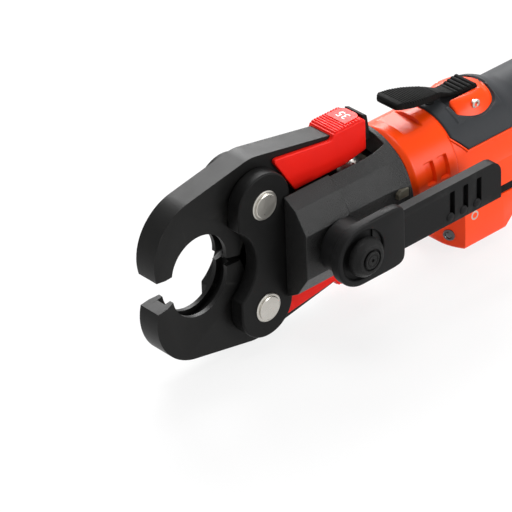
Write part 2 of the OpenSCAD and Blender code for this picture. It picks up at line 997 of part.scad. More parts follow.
// A plan outline and its mirror image, drawn out between two depths below the axis
module keel_layer(plan, low, high) {
    translate([0, 0, -low])
        linear_extrude(low - high)
            polygon(concat(plan, [for (i = [len(plan) - 1:-1:0]) [plan[i][0], -plan[i][1]]]));
}

module keel_cover() {
    floor_z = -keel_z + keel_wall;
    rise = keel_end - keel_rise_x;
    color("#e5431c")
        difference() {
            union() {
                keel_layer(keel_plan, keel_z, strip_low);
                keel_layer(strip_plan, strip_low + over, strip_high - over);
                keel_layer(hip_plan, strip_high, keel_top);
            }
            turned(concat([[barrel_x - over, 0], [barrel_x - over, barrel_r + fit]],
                [for (p = shell_profile) [p[0], p[1] + fit]], [[shell_end, 0]]));
            rod_x(keel_nose_x - over, barrel_x, collar_r + gap);
            slab(-2 * keel_w, 2 * keel_w)
                polygon([[keel_rise_x, -keel_z - over], [keel_rise_x, -keel_z], [keel_end, -keel_z + rise],
                    [keel_end + over, -keel_z + rise], [keel_end + over, -keel_z - over]]);
            difference() {
                box([board_x - gap, -board_size[1] / 2 - gap, floor_z],
                    [board_x + board_size[0] + gap, board_size[1] / 2 + gap, 0]);
                for (x = [stand_r, board_size[0] - stand_r])
                    for (y = [stand_r, board_size[1] - stand_r])
                        rod_z(board_x + x, y - board_size[1] / 2, floor_z - over, -board_z, stand_r);
            }
            on_prow()
                rod_x(-lens_t, over, lens_r + fit);
            for (x = keel_screw_x)
                for (side = [-1, 1])
                    on_keel_side(x, side)
                        screw(fit);
        }
}

// The near slanted face of the keel's front, with +X out of it
module on_prow() {
    run = keel_plan[1] - keel_plan[0];
    middle = (keel_plan[0] + keel_plan[1]) / 2;
    translate([middle[0], -middle[1], -lens_z])
        rotate([0, 0, atan2(-run[0], -run[1])])
            children();
}

// A place on the keel's side, with +X out of it
module on_keel_side(x, side) {
    translate([x, side * keel_w, -keel_screw_z])
        rotate([0, 0, side * 90])
            children();
}

module screw(room) {
    rod_x(-screw_head_t, room > 0 ? over : 0, screw_head_r + room);
    rod_x(-screw_l - room, -screw_head_t, screw_r + room);
}

module work_light() {
    color("#3a3d40")
        on_prow()
            rod_x(-lens_t + fit, lens_proud, lens_r);
}

module keel_screws() {
    color("#c4c4c2")
        for (x = keel_screw_x)
            for (side = [-1, 1])
                on_keel_side(x, side)
                    screw(0);
}

module circuit_board() {
    color("#1f5a38")
        box([board_x, -board_size[1] / 2, -board_z],
            [board_x + board_size[0], board_size[1] / 2, -board_z + board_t]);
}

// Push buttons and status light on the barrel's top
module push_button(x) {
    rod_z(x, 0, button_low, button_top, button_r);
    rod_z(x, 0, button_low, button_low + flange_t, button_r + button_flange);
}

module release_button() {
    color("#202123")
        push_button(release_x);
}

module power_button() {
    color("#202123")
        push_button(power_x);
}

module status_lens() {
    color("#9fb8a4")
        rod_z(status_x, 0, grip_r - wall, grip_r + overmould_t, status_r);
}

// Drive
module pump_block() {
    color("#6f7275")
        rod_x(cylinder_end, pump_end, pump_r);
}

module gearbox() {
    color("#84878a")
        difference() {
            rod_x(pump_end, gearbox_end, gearbox_r);
            rod_x(gearbox_end - shaft_front - gap, gearbox_end + over, pinion_r + gap);
        }
}

module motor() {
    color("#4d5054")
        difference() {
            rod_x(gearbox_end, motor_end, motor_r);
            rod_x(gearbox_end - over, motor_end + over, shaft_r + fit);
        }
}

module motor_shaft() {
    color("#c8c9ca") {
        rod_x(gearbox_end - shaft_front, motor_end + shaft_r, shaft_r);
        rod_x(gearbox_end - shaft_front, gearbox_end - gap, pinion_r);
    }
}

// Dock
module rear_dock() {
    half_w = dock_w / 2;
    low = dock_z - dock_h / 2;
    high = dock_z + dock_h / 2;
    color("#2a2b2d")
        difference() {
            union() {
                round_box([shell_end, -half_w, low], [dock_end, half_w, high], case_r);
                box([dock_end - over, -rail_w / 2, dock_z - rail_h / 2],
                    [dock_end + rail_depth, rail_w / 2, dock_z + rail_h / 2]);
                box([dock_end + rail_neck, -rail_t_w / 2, dock_z - rail_h / 2],
                    [dock_end + rail_depth, rail_t_w / 2, dock_z + rail_h / 2]);
            }
            box([shell_end - over, -rail_w / 2, dock_z - rail_h / 2],
                [dock_end - dock_wall, rail_w / 2, dock_z + rail_h / 2]);
            for (y = [-dock_screw_y, dock_screw_y])
                for (z = [-dock_screw_z, dock_screw_z])
                    translate([dock_end, y, dock_z + z])
                        screw(fit);
        }
}

module dock_contacts() {
    from = dock_end + rail_depth;
    color("#c9a24a")
        for (y = contact_y)
            box([from, y - contact_size[1] / 2, dock_z - contact_size[2] / 2],
                [from + contact_size[0], y + contact_size[1] / 2, dock_z + contact_size[2] / 2]);
}

module dock_screws() {
    color("#3c3d40")
        for (y = [-dock_screw_y, dock_screw_y])
            for (z = [-dock_screw_z, dock_screw_z])
                translate([dock_end, y, dock_z + z])
                    screw(0);
}

// Battery pack
pack_low = -pack_base;
pack_high = pack_l - pack_base;
pack_back = pack_x + pack_d;
channel_back = dock_end + rail_depth + contact_size[0] + 2 * gap;
cell_first = channel_back + pack_wall + cell_r + gap;
cover_x = cell_first + cell_pitch / 2;
cell_room = cell_l / 2 + gap;

module cell_cavity() {
    tall = (cell_rows - 1) * cell_pitch / 2 + cell_r + gap;
    middle = pack_low + pack_l / 2;
    box([cell_first - cell_r - gap, -cell_room, middle - tall],
        [cell_first + (cell_columns - 1) * cell_pitch + cell_r + gap, cell_room, middle + tall]);
}

module pack_block(from, to) {
    round_box([from, -pack_w / 2, pack_low], [to, pack_w / 2, pack_high], case_r);
}

module latch_box(room) {
    inner = pack_w / 2 - latch_in - (room > 0 ? latch_travel + room : 0);
    outer = pack_w / 2 + latch_proud + (room > 0 ? over : 0);
    box([pack_x + latch_x - room, inner, latch_z - room],
        [pack_x + latch_x + latch_size[0] + room, outer, latch_z + latch_size[1] + room]);
}

module battery_case() {
    top = dock_z + rail_h / 2 + gap;
    color("#2d2e31")
        difference() {
            pack_block(pack_x, cover_x);
            box([pack_x - over, -rail_w / 2 - gap, pack_low - over], [dock_end + rail_neck, rail_w / 2 + gap, top]);
            box([dock_end + rail_neck - gap, -rail_t_w / 2 - gap, pack_low - over],
                [dock_end + rail_depth + gap, rail_t_w / 2 + gap, top]);
            box([dock_end + rail_depth, contact_y[0] - contact_size[1], pack_low - over],
                [channel_back, contact_y[3] + contact_size[1], top]);
            cell_cavity();
            latch_box(gap);
            mirror([0, 1, 0])
                latch_box(gap);
        }
}

module battery_cover() {
    color("#2d2e31")
        difference() {
            pack_block(cover_x, pack_back);
            cell_cavity();
            latch_box(gap);
            mirror([0, 1, 0])
                latch_box(gap);
        }
}

module battery_cells() {
    middle = pack_low + pack_l / 2;
    color("#6f9fb8")
        for (i = [0:cell_rows - 1])
            for (k = [0:cell_columns - 1])
                rod_y(cell_first + k * cell_pitch, middle + (i - (cell_rows - 1) / 2) * cell_pitch,
                    -cell_l / 2, cell_l / 2, cell_r);
}

module battery_latch_near() {
    color("#c8321e")
        mirror([0, 1, 0])
            latch_box(0);
}

module battery_latch_far() {
    color("#c8321e")
        latch_box(0);
}

jaw_arm_upper();
jaw_arm_lower();
tail_grip_upper();
tail_grip_lower();
grip_plate_upper();
grip_plate_lower();
jaw_plate_near();
jaw_plate_far();
pivot_pin_upper();
pivot_pin_lower();
jaw_springs();
fork();
index_tab();
mounting_pin();
pin_knob();
lock_button();
lock_lever();
ram();
press_roller_upper();
press_roller_lower();
roller_axles();
piston_seal();
return_spring();
thrust_washer();
press_cylinder();
cylinder_gland();
front_collar();
shell_near();
shell_far();
overmould();
trigger_bracket();
trigger_lever();
trigger_pin();
trigger_switch();
keel_cover();
work_light();
keel_screws();
circuit_board();
release_button();
power_button();
status_lens();
pump_block();
gearbox();
motor();
motor_shaft();
rear_dock();
dock_contacts();
dock_screws();
battery_case();
battery_cover();
battery_cells();
battery_latch_near();
battery_latch_far();
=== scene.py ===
import json
import math

import bmesh
import bpy
import numpy as np
from mathutils import Matrix, Vector


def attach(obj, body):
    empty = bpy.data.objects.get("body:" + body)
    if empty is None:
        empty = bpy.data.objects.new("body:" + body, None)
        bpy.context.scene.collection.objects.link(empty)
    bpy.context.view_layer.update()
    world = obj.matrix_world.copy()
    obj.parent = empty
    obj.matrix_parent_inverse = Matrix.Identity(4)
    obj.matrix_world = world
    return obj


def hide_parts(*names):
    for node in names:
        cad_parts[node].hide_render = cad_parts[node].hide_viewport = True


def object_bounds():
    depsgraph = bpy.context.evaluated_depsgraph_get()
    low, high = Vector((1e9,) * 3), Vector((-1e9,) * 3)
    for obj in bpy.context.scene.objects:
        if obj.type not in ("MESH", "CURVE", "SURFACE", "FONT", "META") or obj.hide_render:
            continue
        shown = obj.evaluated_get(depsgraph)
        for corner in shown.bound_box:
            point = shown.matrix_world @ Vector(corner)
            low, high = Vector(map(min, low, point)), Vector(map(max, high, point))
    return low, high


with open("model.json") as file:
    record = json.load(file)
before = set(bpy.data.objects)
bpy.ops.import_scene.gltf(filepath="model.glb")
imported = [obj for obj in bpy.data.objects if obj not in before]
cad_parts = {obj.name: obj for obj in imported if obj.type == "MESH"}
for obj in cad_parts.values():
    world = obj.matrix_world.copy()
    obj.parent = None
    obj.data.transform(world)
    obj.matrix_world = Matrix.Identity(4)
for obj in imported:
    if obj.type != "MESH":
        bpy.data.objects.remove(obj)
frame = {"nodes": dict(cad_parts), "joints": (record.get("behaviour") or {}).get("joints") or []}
cad_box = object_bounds()

# Units and sides, and places and turns taken from the frame
MM, WELD = 0.001, 2e-6
HALVES = (("upper", 1), ("lower", -1))
FLANKS = (("near", -1), ("far", 1))
JOINTS = {joint["name"]: joint for joint in frame["joints"]}
PIN_AXIS = JOINTS["jaw_pin_pull"]["axis"]
HEAD_ROLL = -math.atan2(PIN_AXIS[2], -PIN_AXIS[1])


def rolled(points, angle):
    """Points turned about the tool axis X by an angle."""
    x, y, z = np.moveaxis(np.asarray(points, float), -1, 0)
    c, s = math.cos(angle), math.sin(angle)
    return np.stack([x, c * y - s * z, s * y + c * z], -1)


def on_head(points):
    """Head millimetres turned with the head and put in metres."""
    return rolled(points, HEAD_ROLL) * MM


def on_body(points):
    """Body millimetres put in metres."""
    return np.asarray(points, float) * MM


def reach(node, roll=0.0):
    """Lowest and highest corner of a node in millimetres, with a roll about X taken off first."""
    mesh = frame["nodes"][node].data
    flat = np.empty(len(mesh.vertices) * 3)
    mesh.vertices.foreach_get("co", flat)
    points = rolled(flat.reshape(-1, 3), -roll) / MM
    return points.min(0), points.max(0)


def head_place(joint):
    """A hinge's place in the head's own millimetres."""
    return rolled(np.array(JOINTS[joint]["pos_m"]), -HEAD_ROLL) / MM


# Meshes from grids of points
def grid_faces(rows, columns, wrap_rows, wrap_columns):
    """Quads between each four neighbours of a grid, as indices."""
    r, c = np.meshgrid(np.arange(rows if wrap_rows else rows - 1),
                       np.arange(columns if wrap_columns else columns - 1), indexing="ij")
    r2, c2 = (r + 1) % rows, (c + 1) % columns
    corners = [r * columns + c, r * columns + c2, r2 * columns + c2, r2 * columns + c]
    return np.stack(corners, -1).reshape(-1, 4)


def patch(points, wrap_rows=False, wrap_columns=True, caps=True):
    """A closed surface from a grid of points: its quads, and a flat face over its first and last row."""
    rows, columns = points.shape[:2]
    faces = grid_faces(rows, columns, wrap_rows, wrap_columns).tolist()
    if caps and not wrap_rows:
        faces += [list(range(columns)), list(range((rows - 1) * columns, rows * columns))]
    return points.reshape(-1, 3), faces


def joined(patches):
    """Points and faces of a row of patches, with each patch's indices moved on by the points before it."""
    starts = np.cumsum([0] + [len(points) for points, _ in patches]).tolist()
    faces = [[i + start for i in face] for (_, group), start in zip(patches, starts) for face in group]
    return np.concatenate([points for points, _ in patches]), faces


def piece(name, patches, finish, body, nodes=(), bevel=0.0, segments=3, sharp_deg=35.0):
    """One object from closed patches in metres, with an optional rounded edge, riding on a body."""
    points, faces = joined(patches)
    mesh = bpy.data.meshes.new(name)
    mesh.from_pydata(points, [], faces)
    bm = bmesh.new()
    bm.from_mesh(mesh)
    bmesh.ops.remove_doubles(bm, verts=bm.verts, dist=WELD)
    bmesh.ops.recalc_face_normals(bm, faces=bm.faces)
    bm.to_mesh(mesh)
    bm.free()
    mesh.shade_smooth()
    mesh.set_sharp_from_angle(angle=math.radians(sharp_deg))
    mesh.materials.append(finish)
    obj = bpy.data.objects.new(name, mesh)
    bpy.context.scene.collection.objects.link(obj)
    if bevel:
        round_off = obj.modifiers.new("edges", "BEVEL")
        round_off.width = bevel * MM
        round_off.segments = segments
        round_off.limit_method = "ANGLE"
        round_off.angle_limit = math.radians(sharp_deg)
        round_off.harden_normals = True
    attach(obj, body)
    if nodes:
        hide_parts(*nodes)
    return obj


def arc(centre, radius, start_deg, end_deg, count=24):
    """Points on a circle between two angles, both included."""
    a = np.radians(np.linspace(start_deg, end_deg, count))
    return np.asarray(centre, float) + radius * np.stack([np.cos(a), np.sin(a)], -1)


def across(outline, levels, place):
    """An x and z outline carried through a row of y levels, with flat ends."""
    outline = np.asarray(outline, float)
    y = np.asarray(levels, float)[:, None] * np.ones(len(outline))
    x, z = outline[:, 0] + 0 * y, outline[:, 1] + 0 * y
    return patch(place(np.stack([x, y, z], -1)))


def along(sections, stations, place):
    """A row of y and z sections, one at each x station, joined with flat ends."""
    sections = np.asarray(sections, float)
    x = np.asarray(stations, float)[:, None] + 0 * sections[..., 0]
    return patch(place(np.concatenate([x[..., None], sections], -1)))


def lathe(profile, centre, axis, place, sides=72, hexagon_rows=()):
    """A profile of places and radii turned about an axis through a centre.
    Rows named as hexagon have the radius of a six-sided hole, which grows as 1 / cos between its flats."""
    profile = np.asarray(profile, float)
    a = np.linspace(0, 2 * np.pi, sides, endpoint=False)
    radius = np.repeat(profile[:, 1:2], sides, 1)
    if len(hexagon_rows):
        six = 1 / np.cos((a + np.pi / 6) % (np.pi / 3) - np.pi / 6)
        radius[list(hexagon_rows)] *= six
    place_on_axis = profile[:, 0:1] + 0 * radius
    u, v = radius * np.cos(a), radius * np.sin(a)
    order = {"x": (place_on_axis, u, v), "y": (u, place_on_axis, v), "z": (u, v, place_on_axis)}[axis]
    return patch(place(np.stack(order, -1) + np.asarray(centre, float)))


def ring(profile, centre, axis, place, sides=96):
    """A closed profile of places and radii turned about an axis, so that it keeps its bore."""
    points, _ = lathe(profile, centre, axis, place, sides)
    return patch(points.reshape(len(profile), sides, 3), wrap_rows=True, caps=False)


def smooth(x, low, high):
    """0 below low, 1 above high and a cubic ease between them."""
    t = np.clip((np.asarray(x, float) - low) / (high - low), 0, 1)
    return t * t * (3 - 2 * t)


def rounded_box(half_y, low_z, high_z, radius, corner_points=8):
    """A y and z section: a rectangle with four round corners."""
    c = [(half_y - radius, high_z - radius, 0), (radius - half_y, high_z - radius, 90),
         (radius - half_y, low_z + radius, 180), (half_y - radius, low_z + radius, 270)]
    return np.concatenate([arc((y, z), radius, a, a + 90, corner_points) for y, z, a in c])


# Node groups shared by the finishes
def new_group(name, inputs, outputs):
    """An empty shader node group with float inputs, given as names and values, and named outputs."""
    tree = bpy.data.node_groups.new(name, "ShaderNodeTree")
    for label, value in inputs:
        tree.interface.new_socket(label, in_out="INPUT", socket_type="NodeSocketFloat").default_value = value
    for label in outputs:
        tree.interface.new_socket(label, in_out="OUTPUT", socket_type="NodeSocketFloat")
    return tree, tree.nodes.new("NodeGroupInput"), tree.nodes.new("NodeGroupOutput")


def add(tree, kind, **settings):
    """A node of a kind, with its properties and its unlinked inputs set by name."""
    node = tree.nodes.new("ShaderNode" + kind)
    for key, value in settings.items():
        if key in node.inputs:
            node.inputs[key].default_value = value
        else:
            setattr(node, key, value)
    return node


def grain_group():
    """Fine grain for bump and a broad cloud for colour, from noise on Object coordinates."""
    tree, source, sink = new_group("grain", [("Scale", 900.0), ("Cloud Scale", 40.0)], ["Fine", "Cloud"])
    where = add(tree, "TexCoord")
    fine = add(tree, "TexNoise", Detail=5.0, Roughness=0.6)
    cloud = add(tree, "TexNoise", Detail=3.0, Roughness=0.55)
    for noise, label in ((fine, "Scale"), (cloud, "Cloud Scale")):
        tree.links.new(where.outputs["Object"], noise.inputs["Vector"])
        tree.links.new(source.outputs[label], noise.inputs["Scale"])
    tree.links.new(fine.outputs["Fac"], sink.inputs["Fine"])
    tree.links.new(cloud.outputs["Fac"], sink.inputs["Cloud"])
    return tree


def edge_group():
    """A mask of outer edges for wear and a painted highlight: pointiness above a limit, broken up by noise.
    """
    limits = [("Low", 0.52), ("High", 0.60), ("Patch Scale", 260.0)]
    tree, source, sink = new_group("edge_wear_and_highlight_mask", limits, ["Mask"])
    shape = add(tree, "NewGeometry")
    where = add(tree, "TexCoord")
    limit = add(tree, "MapRange")
    broken = add(tree, "TexNoise", Detail=4.0)
    contrast = add(tree, "MapRange", **{"From Min": 0.35, "From Max": 0.62})
    both = add(tree, "Math", operation="MULTIPLY")
    tree.links.new(shape.outputs["Pointiness"], limit.inputs["Value"])
    tree.links.new(source.outputs["Low"], limit.inputs["From Min"])
    tree.links.new(source.outputs["High"], limit.inputs["From Max"])
    tree.links.new(where.outputs["Object"], broken.inputs["Vector"])
    tree.links.new(source.outputs["Patch Scale"], broken.inputs["Scale"])
    tree.links.new(broken.outputs["Fac"], contrast.inputs["Value"])
    tree.links.new(limit.outputs["Result"], both.inputs[0])
    tree.links.new(contrast.outputs["Result"], both.inputs[1])
    tree.links.new(both.outputs["Value"], sink.inputs["Mask"])
    return tree


GRAIN = grain_group()
EDGE = edge_group()


def mixed(tree, mask, low, high):
    """A colour between two colours by a mask output."""
    node = add(tree, "Mix", data_type="RGBA")
    for colour, place in ((low, 6), (high, 7)):
        if isinstance(colour, tuple):
            node.inputs[place].default_value = (*colour, 1.0)
        else:
            tree.links.new(colour, node.inputs[place])
    tree.links.new(mask, node.inputs[0])
    return node.outputs[2]


def finish(name, colour, shade, edge_wear_and_highlight, rough, scale=900.0, cloud=40.0, bump_mm=0.02, edge=(0.57, 0.68),
           metallic=0.0, specular=0.5, coat=0.0, coat_rough=0.2):
    """A surface whose colour drifts between colour and shade by a cloud, takes a lighter colour at its outer
    edges for wear and a painted highlight, and whose roughness and bump follow the cloud and the fine grain."""
    material = bpy.data.materials.new(name)
    material.use_nodes = True
    tree = material.node_tree
    shader = tree.nodes["Principled BSDF"]
    grain = add(tree, "Group", node_tree=GRAIN)
    grain.inputs["Scale"].default_value = scale
    grain.inputs["Cloud Scale"].default_value = cloud
    # Outer edges take the lighter edge colour, which paints wear together with a painted highlight
    wear_and_highlight_mask = add(tree, "Group", node_tree=EDGE)
    wear_and_highlight_mask.inputs["Low"].default_value, wear_and_highlight_mask.inputs["High"].default_value = edge
    spread = add(tree, "MapRange", **{"From Min": 0.3, "From Max": 0.7})
    tree.links.new(grain.outputs["Cloud"], spread.inputs["Value"])
    base = mixed(tree, spread.outputs["Result"], colour, shade)
    tree.links.new(mixed(tree, wear_and_highlight_mask.outputs["Mask"], base, edge_wear_and_highlight), shader.inputs["Base Color"])
    gloss = add(tree, "MapRange", **{"To Min": rough[0], "To Max": rough[1]})
    tree.links.new(spread.outputs["Result"], gloss.inputs["Value"])
    tree.links.new(gloss.outputs["Result"], shader.inputs["Roughness"])
    bump = add(tree, "Bump", Strength=1.0, Distance=bump_mm * MM)
    tree.links.new(grain.outputs["Fine"], bump.inputs["Height"])
    tree.links.new(bump.outputs["Normal"], shader.inputs["Normal"])
    shader.inputs["Metallic"].default_value = metallic
    shader.inputs["Specular IOR Level"].default_value = specular
    shader.inputs["Coat Weight"].default_value = coat
    shader.inputs["Coat Roughness"].default_value = coat_rough
    return material


# Finishes
# The third colour of each finish is its lighter edge colour: wear with a painted highlight on the outer edges
FORGED = finish("forged_black", (0.0048, 0.0048, 0.0047), (0.006, 0.0059, 0.0057), (0.022, 0.0215, 0.020),
                (0.38, 0.44), scale=1400, cloud=160, bump_mm=0.03, specular=0.13)
PLATE = finish("plate_black", (0.005, 0.005, 0.005), (0.0062, 0.0062, 0.0061), (0.022, 0.022, 0.021),
               (0.44, 0.48), scale=1600, cloud=160, bump_mm=0.02, specular=0.1)
CAST = finish("cast_grey", (0.007, 0.007, 0.007), (0.0085, 0.0085, 0.0084), (0.028, 0.028, 0.027),
              (0.34, 0.40), scale=1500, cloud=900, bump_mm=0.4, specular=0.3)
LEVER = finish("lever_black", (0.0055, 0.0055, 0.0057), (0.0068, 0.0068, 0.007), (0.02, 0.02, 0.02),
               (0.46, 0.50), scale=2200, cloud=180, bump_mm=0.03, specular=0.1)
BLACK = finish("moulded_black", (0.006, 0.006, 0.006), (0.008, 0.008, 0.008), (0.02, 0.02, 0.02),
               (0.42, 0.48), scale=1500, cloud=160, bump_mm=0.3, specular=0.12)
RUBBER = finish("rubber_black", (0.005, 0.005, 0.0049), (0.0065, 0.0065, 0.0063), (0.014, 0.014, 0.0135),
                (0.56, 0.64), scale=1500, cloud=160, bump_mm=0.05, specular=0.05)
SOFT = finish("soft_grey", (0.032, 0.034, 0.037), (0.035, 0.037, 0.040), (0.05, 0.052, 0.055),
              (0.48, 0.52), scale=2600, cloud=120, bump_mm=0.04, specular=0.1)
RED = finish("red_moulded", (0.80, 0.012, 0.006), (0.76, 0.0105, 0.0055), (0.84, 0.03, 0.015),
             (0.34, 0.44), scale=1900, cloud=45, bump_mm=0.015, specular=0.15)
ORANGE = finish("orange_moulded", (0.93, 0.062, 0.003), (0.90, 0.057, 0.003), (0.95, 0.10, 0.02),
                (0.28, 0.38), scale=1700, cloud=35, bump_mm=0.012, specular=0.18, coat=0.03, coat_rough=0.15)
STEEL = finish("turned_steel", (0.56, 0.54, 0.50), (0.48, 0.46, 0.42), (0.72, 0.70, 0.66),
               (0.24, 0.36), scale=2600, cloud=90, bump_mm=0.012, metallic=1.0)
DARK_STEEL = finish("dull_steel", (0.30, 0.30, 0.29), (0.22, 0.22, 0.21), (0.5, 0.5, 0.48),
                    (0.34, 0.48), scale=1500, cloud=70, bump_mm=0.02, metallic=1.0)
ALLOY = finish("machined_alloy", (0.50, 0.51, 0.52), (0.42, 0.43, 0.44), (0.68, 0.68, 0.68),
               (0.3, 0.45), scale=1600, cloud=60, bump_mm=0.02, metallic=1.0)
BRONZE = finish("bearing_bronze", (0.52, 0.36, 0.15), (0.42, 0.28, 0.11), (0.66, 0.5, 0.26),
                (0.3, 0.42), scale=1700, cloud=80, bump_mm=0.015, metallic=1.0)
BOARD = finish("board_green", (0.015, 0.13, 0.06), (0.012, 0.10, 0.05), (0.1, 0.2, 0.12),
               (0.3, 0.4), scale=900, cloud=120, bump_mm=0.01)
CELL = finish("cell_wrap", (0.06, 0.22, 0.36), (0.05, 0.19, 0.32), (0.15, 0.3, 0.42),
              (0.28, 0.36), scale=1200, cloud=60, bump_mm=0.01)
WHITE = finish("number_white", (0.86, 0.85, 0.82), (0.80, 0.79, 0.76), (0.9, 0.9, 0.88),
               (0.4, 0.5), scale=1800, cloud=90, bump_mm=0.01)
TAB = finish("dull_tab", (0.075, 0.068, 0.05), (0.06, 0.054, 0.04), (0.16, 0.145, 0.11),
             (0.45, 0.55), scale=1500, cloud=70, bump_mm=0.02, specular=0.3)
LENS = finish("smoked_lens", (0.03, 0.032, 0.036), (0.05, 0.052, 0.056), (0.10, 0.10, 0.11),
              (0.08, 0.14), scale=1500, cloud=120, bump_mm=0.005, coat=0.6, coat_rough=0.05)

# Jaw arms
PIVOT = head_place("upper_jaw_swing")[[0, 2]]
JAW_OPEN = math.radians(8)
ARM_HALF = 7.0
NOSE, NOSE_R = np.array([-2.5, 12.5]), 30.3
SHOULDER_R = 24.0
TAIL_L, TAIL_H, TAIL_R = 60.5, 22.0, 9.5
TAIL_CORNER = PIVOT + np.array([TAIL_L - TAIL_R, TAIL_H - TAIL_R])
SEAM = 0.4
LAND_R, GROOVE_R, RELIEF_R = 18.7, 22.4, 24.5
LAND_Y, GROOVE_Y = 5.6, 3.0
CAM_Z, CAM_LEAD, CAM_RISE = 21.6, 9.0, 3.0
HEEL_R, HEEL_DEG, THROAT_X = 14.5, (285, 262), 27.0
MOUTH_DEG = (1, 179)


def tangent_deg(a, a_r, b, b_r):
    """Angle at which the outer line tangent to two circles leaves both."""
    gap = b - a
    return math.degrees(math.atan2(gap[1], gap[0]) + math.acos((a_r - b_r) / np.hypot(*gap)))


def arm_patch(side):
    """A jaw arm: its closed outline carried across its thickness, with the mouth's radius changing from the
    relief at a face to the land and the groove, turned open about its pivot. Side -1 mirrors it to the
    lower arm."""
    tip = 180 + math.degrees(math.asin((NOSE[1] - SEAM) / NOSE_R))
    neck = tangent_deg(NOSE, NOSE_R, PIVOT, SHOULDER_R)
    back = tangent_deg(PIVOT, SHOULDER_R, TAIL_CORNER, TAIL_R)
    tail_end = TAIL_CORNER[0] + TAIL_R
    outer = np.concatenate([
        arc(NOSE, NOSE_R, tip, neck, 40),
        arc(PIVOT, SHOULDER_R, neck, back, 14),
        arc(TAIL_CORNER, TAIL_R, back, 0, 16),
        [[tail_end, CAM_Z + CAM_RISE], [tail_end - CAM_LEAD, CAM_Z]],
        arc(PIVOT, HEEL_R, *HEEL_DEG, 8),
        [[THROAT_X, SEAM]]])
    levels = np.array([(-ARM_HALF, RELIEF_R), (-LAND_Y, LAND_R), (-GROOVE_Y, LAND_R), (-GROOVE_Y, GROOVE_R),
                       (GROOVE_Y, GROOVE_R), (GROOVE_Y, LAND_R), (LAND_Y, LAND_R), (ARM_HALF, RELIEF_R)])
    a = np.radians(np.linspace(*MOUTH_DEG, 60))
    mouth = levels[:, 1, None, None] * np.stack([np.cos(a), np.sin(a)], -1)
    xz = np.concatenate([np.repeat(outer[None], len(levels), 0), mouth], 1) - PIVOT
    c, s = math.cos(JAW_OPEN), math.sin(JAW_OPEN)
    x, z = PIVOT[0] + c * xz[..., 0] + s * xz[..., 1], PIVOT[1] - s * xz[..., 0] + c * xz[..., 1]
    y = levels[:, 0, None] + 0 * x
    return patch(on_head(np.stack([x, y, side * z], -1)))


for half, side in HALVES:
    piece(f"arm_{half}", [arm_patch(side)], FORGED, f"{half}_jaw",
          [f"jaw_arm_{half}"], bevel=1.0)

# Jaw side plates and pivot pins
LOBE_R, MOUTH_GAP_R = 17.8, 26.0
WEB_BACK, WEB_HALF, WEB_BEVEL = 54.5, 25.0, 3.0
PIN_X = head_place("pin_lever_swing")[0]
TONGUE_R = 15.5
TURNED_RINGS, RING_DEPTH = 14, 0.05


def plate_outline():
    """Both lobes, the web behind them, the tongue round the mounting pin and the round gap of the mouth."""
    front = PIVOT[0] - LOBE_R
    meet = math.degrees(math.acos(front / MOUTH_GAP_R))
    lobe_end = math.degrees(math.asin((WEB_HALF - PIVOT[1]) / LOBE_R))
    web = [[WEB_BACK - WEB_BEVEL, WEB_HALF], [WEB_BACK, WEB_HALF - WEB_BEVEL], [WEB_BACK, TONGUE_R]]
    top = np.concatenate([[[front, PIVOT[1]]], arc(PIVOT, LOBE_R, 180, lobe_end, 40), web])
    return np.concatenate([top, arc((PIN_X, 0), TONGUE_R, 90, -90, 24), top[::-1] * [1, -1],
                           arc((0, 0), MOUTH_GAP_R, -meet, meet, 40)])


for flank, _ in FLANKS:
    low, high = reach(f"jaw_plate_{flank}", HEAD_ROLL)
    plate = across(plate_outline(), [low[1], high[1]], on_head)
    piece(f"side_plate_{flank}", [plate], PLATE, "head", [f"jaw_plate_{flank}"], bevel=1.1)

for half, side in HALVES:
    low, high = reach(f"pivot_pin_{half}", HEAD_ROLL)
    end, r = high[1], (high[0] - low[0]) / 2
    rings = [(end - RING_DEPTH * (i % 2), i * (r - 1.9) / TURNED_RINGS) for i in range(TURNED_RINGS + 1)]
    step = rings + [(end - 0.3, r - 1.5), (end - 0.9, r - 1.45), (end - 0.9, r - 0.45), (end - 1.35, r)]
    profile = step + [(-y, radius) for y, radius in step[::-1]]
    piece(f"pivot_{half}", [lathe(profile, (PIVOT[0], 0, side * PIVOT[1]), "y", on_head)], STEEL, "head",
          [f"pivot_pin_{half}"])

# Tail grips with their ribbed pads, size number and end plates
GRIP_HALF, GRIP_DROP, GRIP_FILLET, GRIP_TIP = 9.3, 2.4, 3.0, 14.5
GRIP_LOW, GRIP_FRONT, GRIP_SLANT, GRIP_BACK = -6.2, 28.0, 64.0, 79.5
PAD_FROM, PAD_TO, PAD_TOP, PAD_HALF = 56.0, 79.0, 16.4, 9.0
RIB_COUNT, RIB_HEIGHT, RIB_POWER = 11, 0.7, 0.6
FIELD_FROM, FIELD_TO, FIELD_HALF, FIELD_TOP = 66.0, 78.2, 7.2, 16.8
FIELD_ROUND, FIELD_TOP_SHARE = 4.5, 0.97
NUMBER, NUMBER_SIZE, NUMBER_RAISE = "35", 7.6, 0.06


def grip_edge(x):
    """Height of a grip's upper edge over its pivot: a line along the arm's open tail."""
    return (TAIL_H - GRIP_DROP) / math.cos(JAW_OPEN) - x * math.tan(JAW_OPEN)


def grip_outline():
    """The grip's side: a low belly, the tower under the pad, a hollow round and the edge along the arm."""
    bend = PAD_FROM - GRIP_FILLET
    tower = PAD_TOP - RIB_HEIGHT - 0.4
    belly = [(GRIP_FRONT, GRIP_LOW), (GRIP_SLANT, GRIP_LOW), (GRIP_BACK, GRIP_LOW + 3)]
    top = [(GRIP_BACK, tower - 1.2), (GRIP_BACK - 1.2, tower), (PAD_FROM, tower)]
    hollow = arc((bend, grip_edge(bend) + GRIP_FILLET), GRIP_FILLET, -15, -82, 8)
    tip = [(GRIP_TIP + 2.0, grip_edge(GRIP_TIP + 2.0)), (GRIP_TIP + 0.4, grip_edge(GRIP_TIP) - 0.6),
           (GRIP_TIP, grip_edge(GRIP_TIP) - 2.4)]
    return np.concatenate([belly, top, hollow, tip])


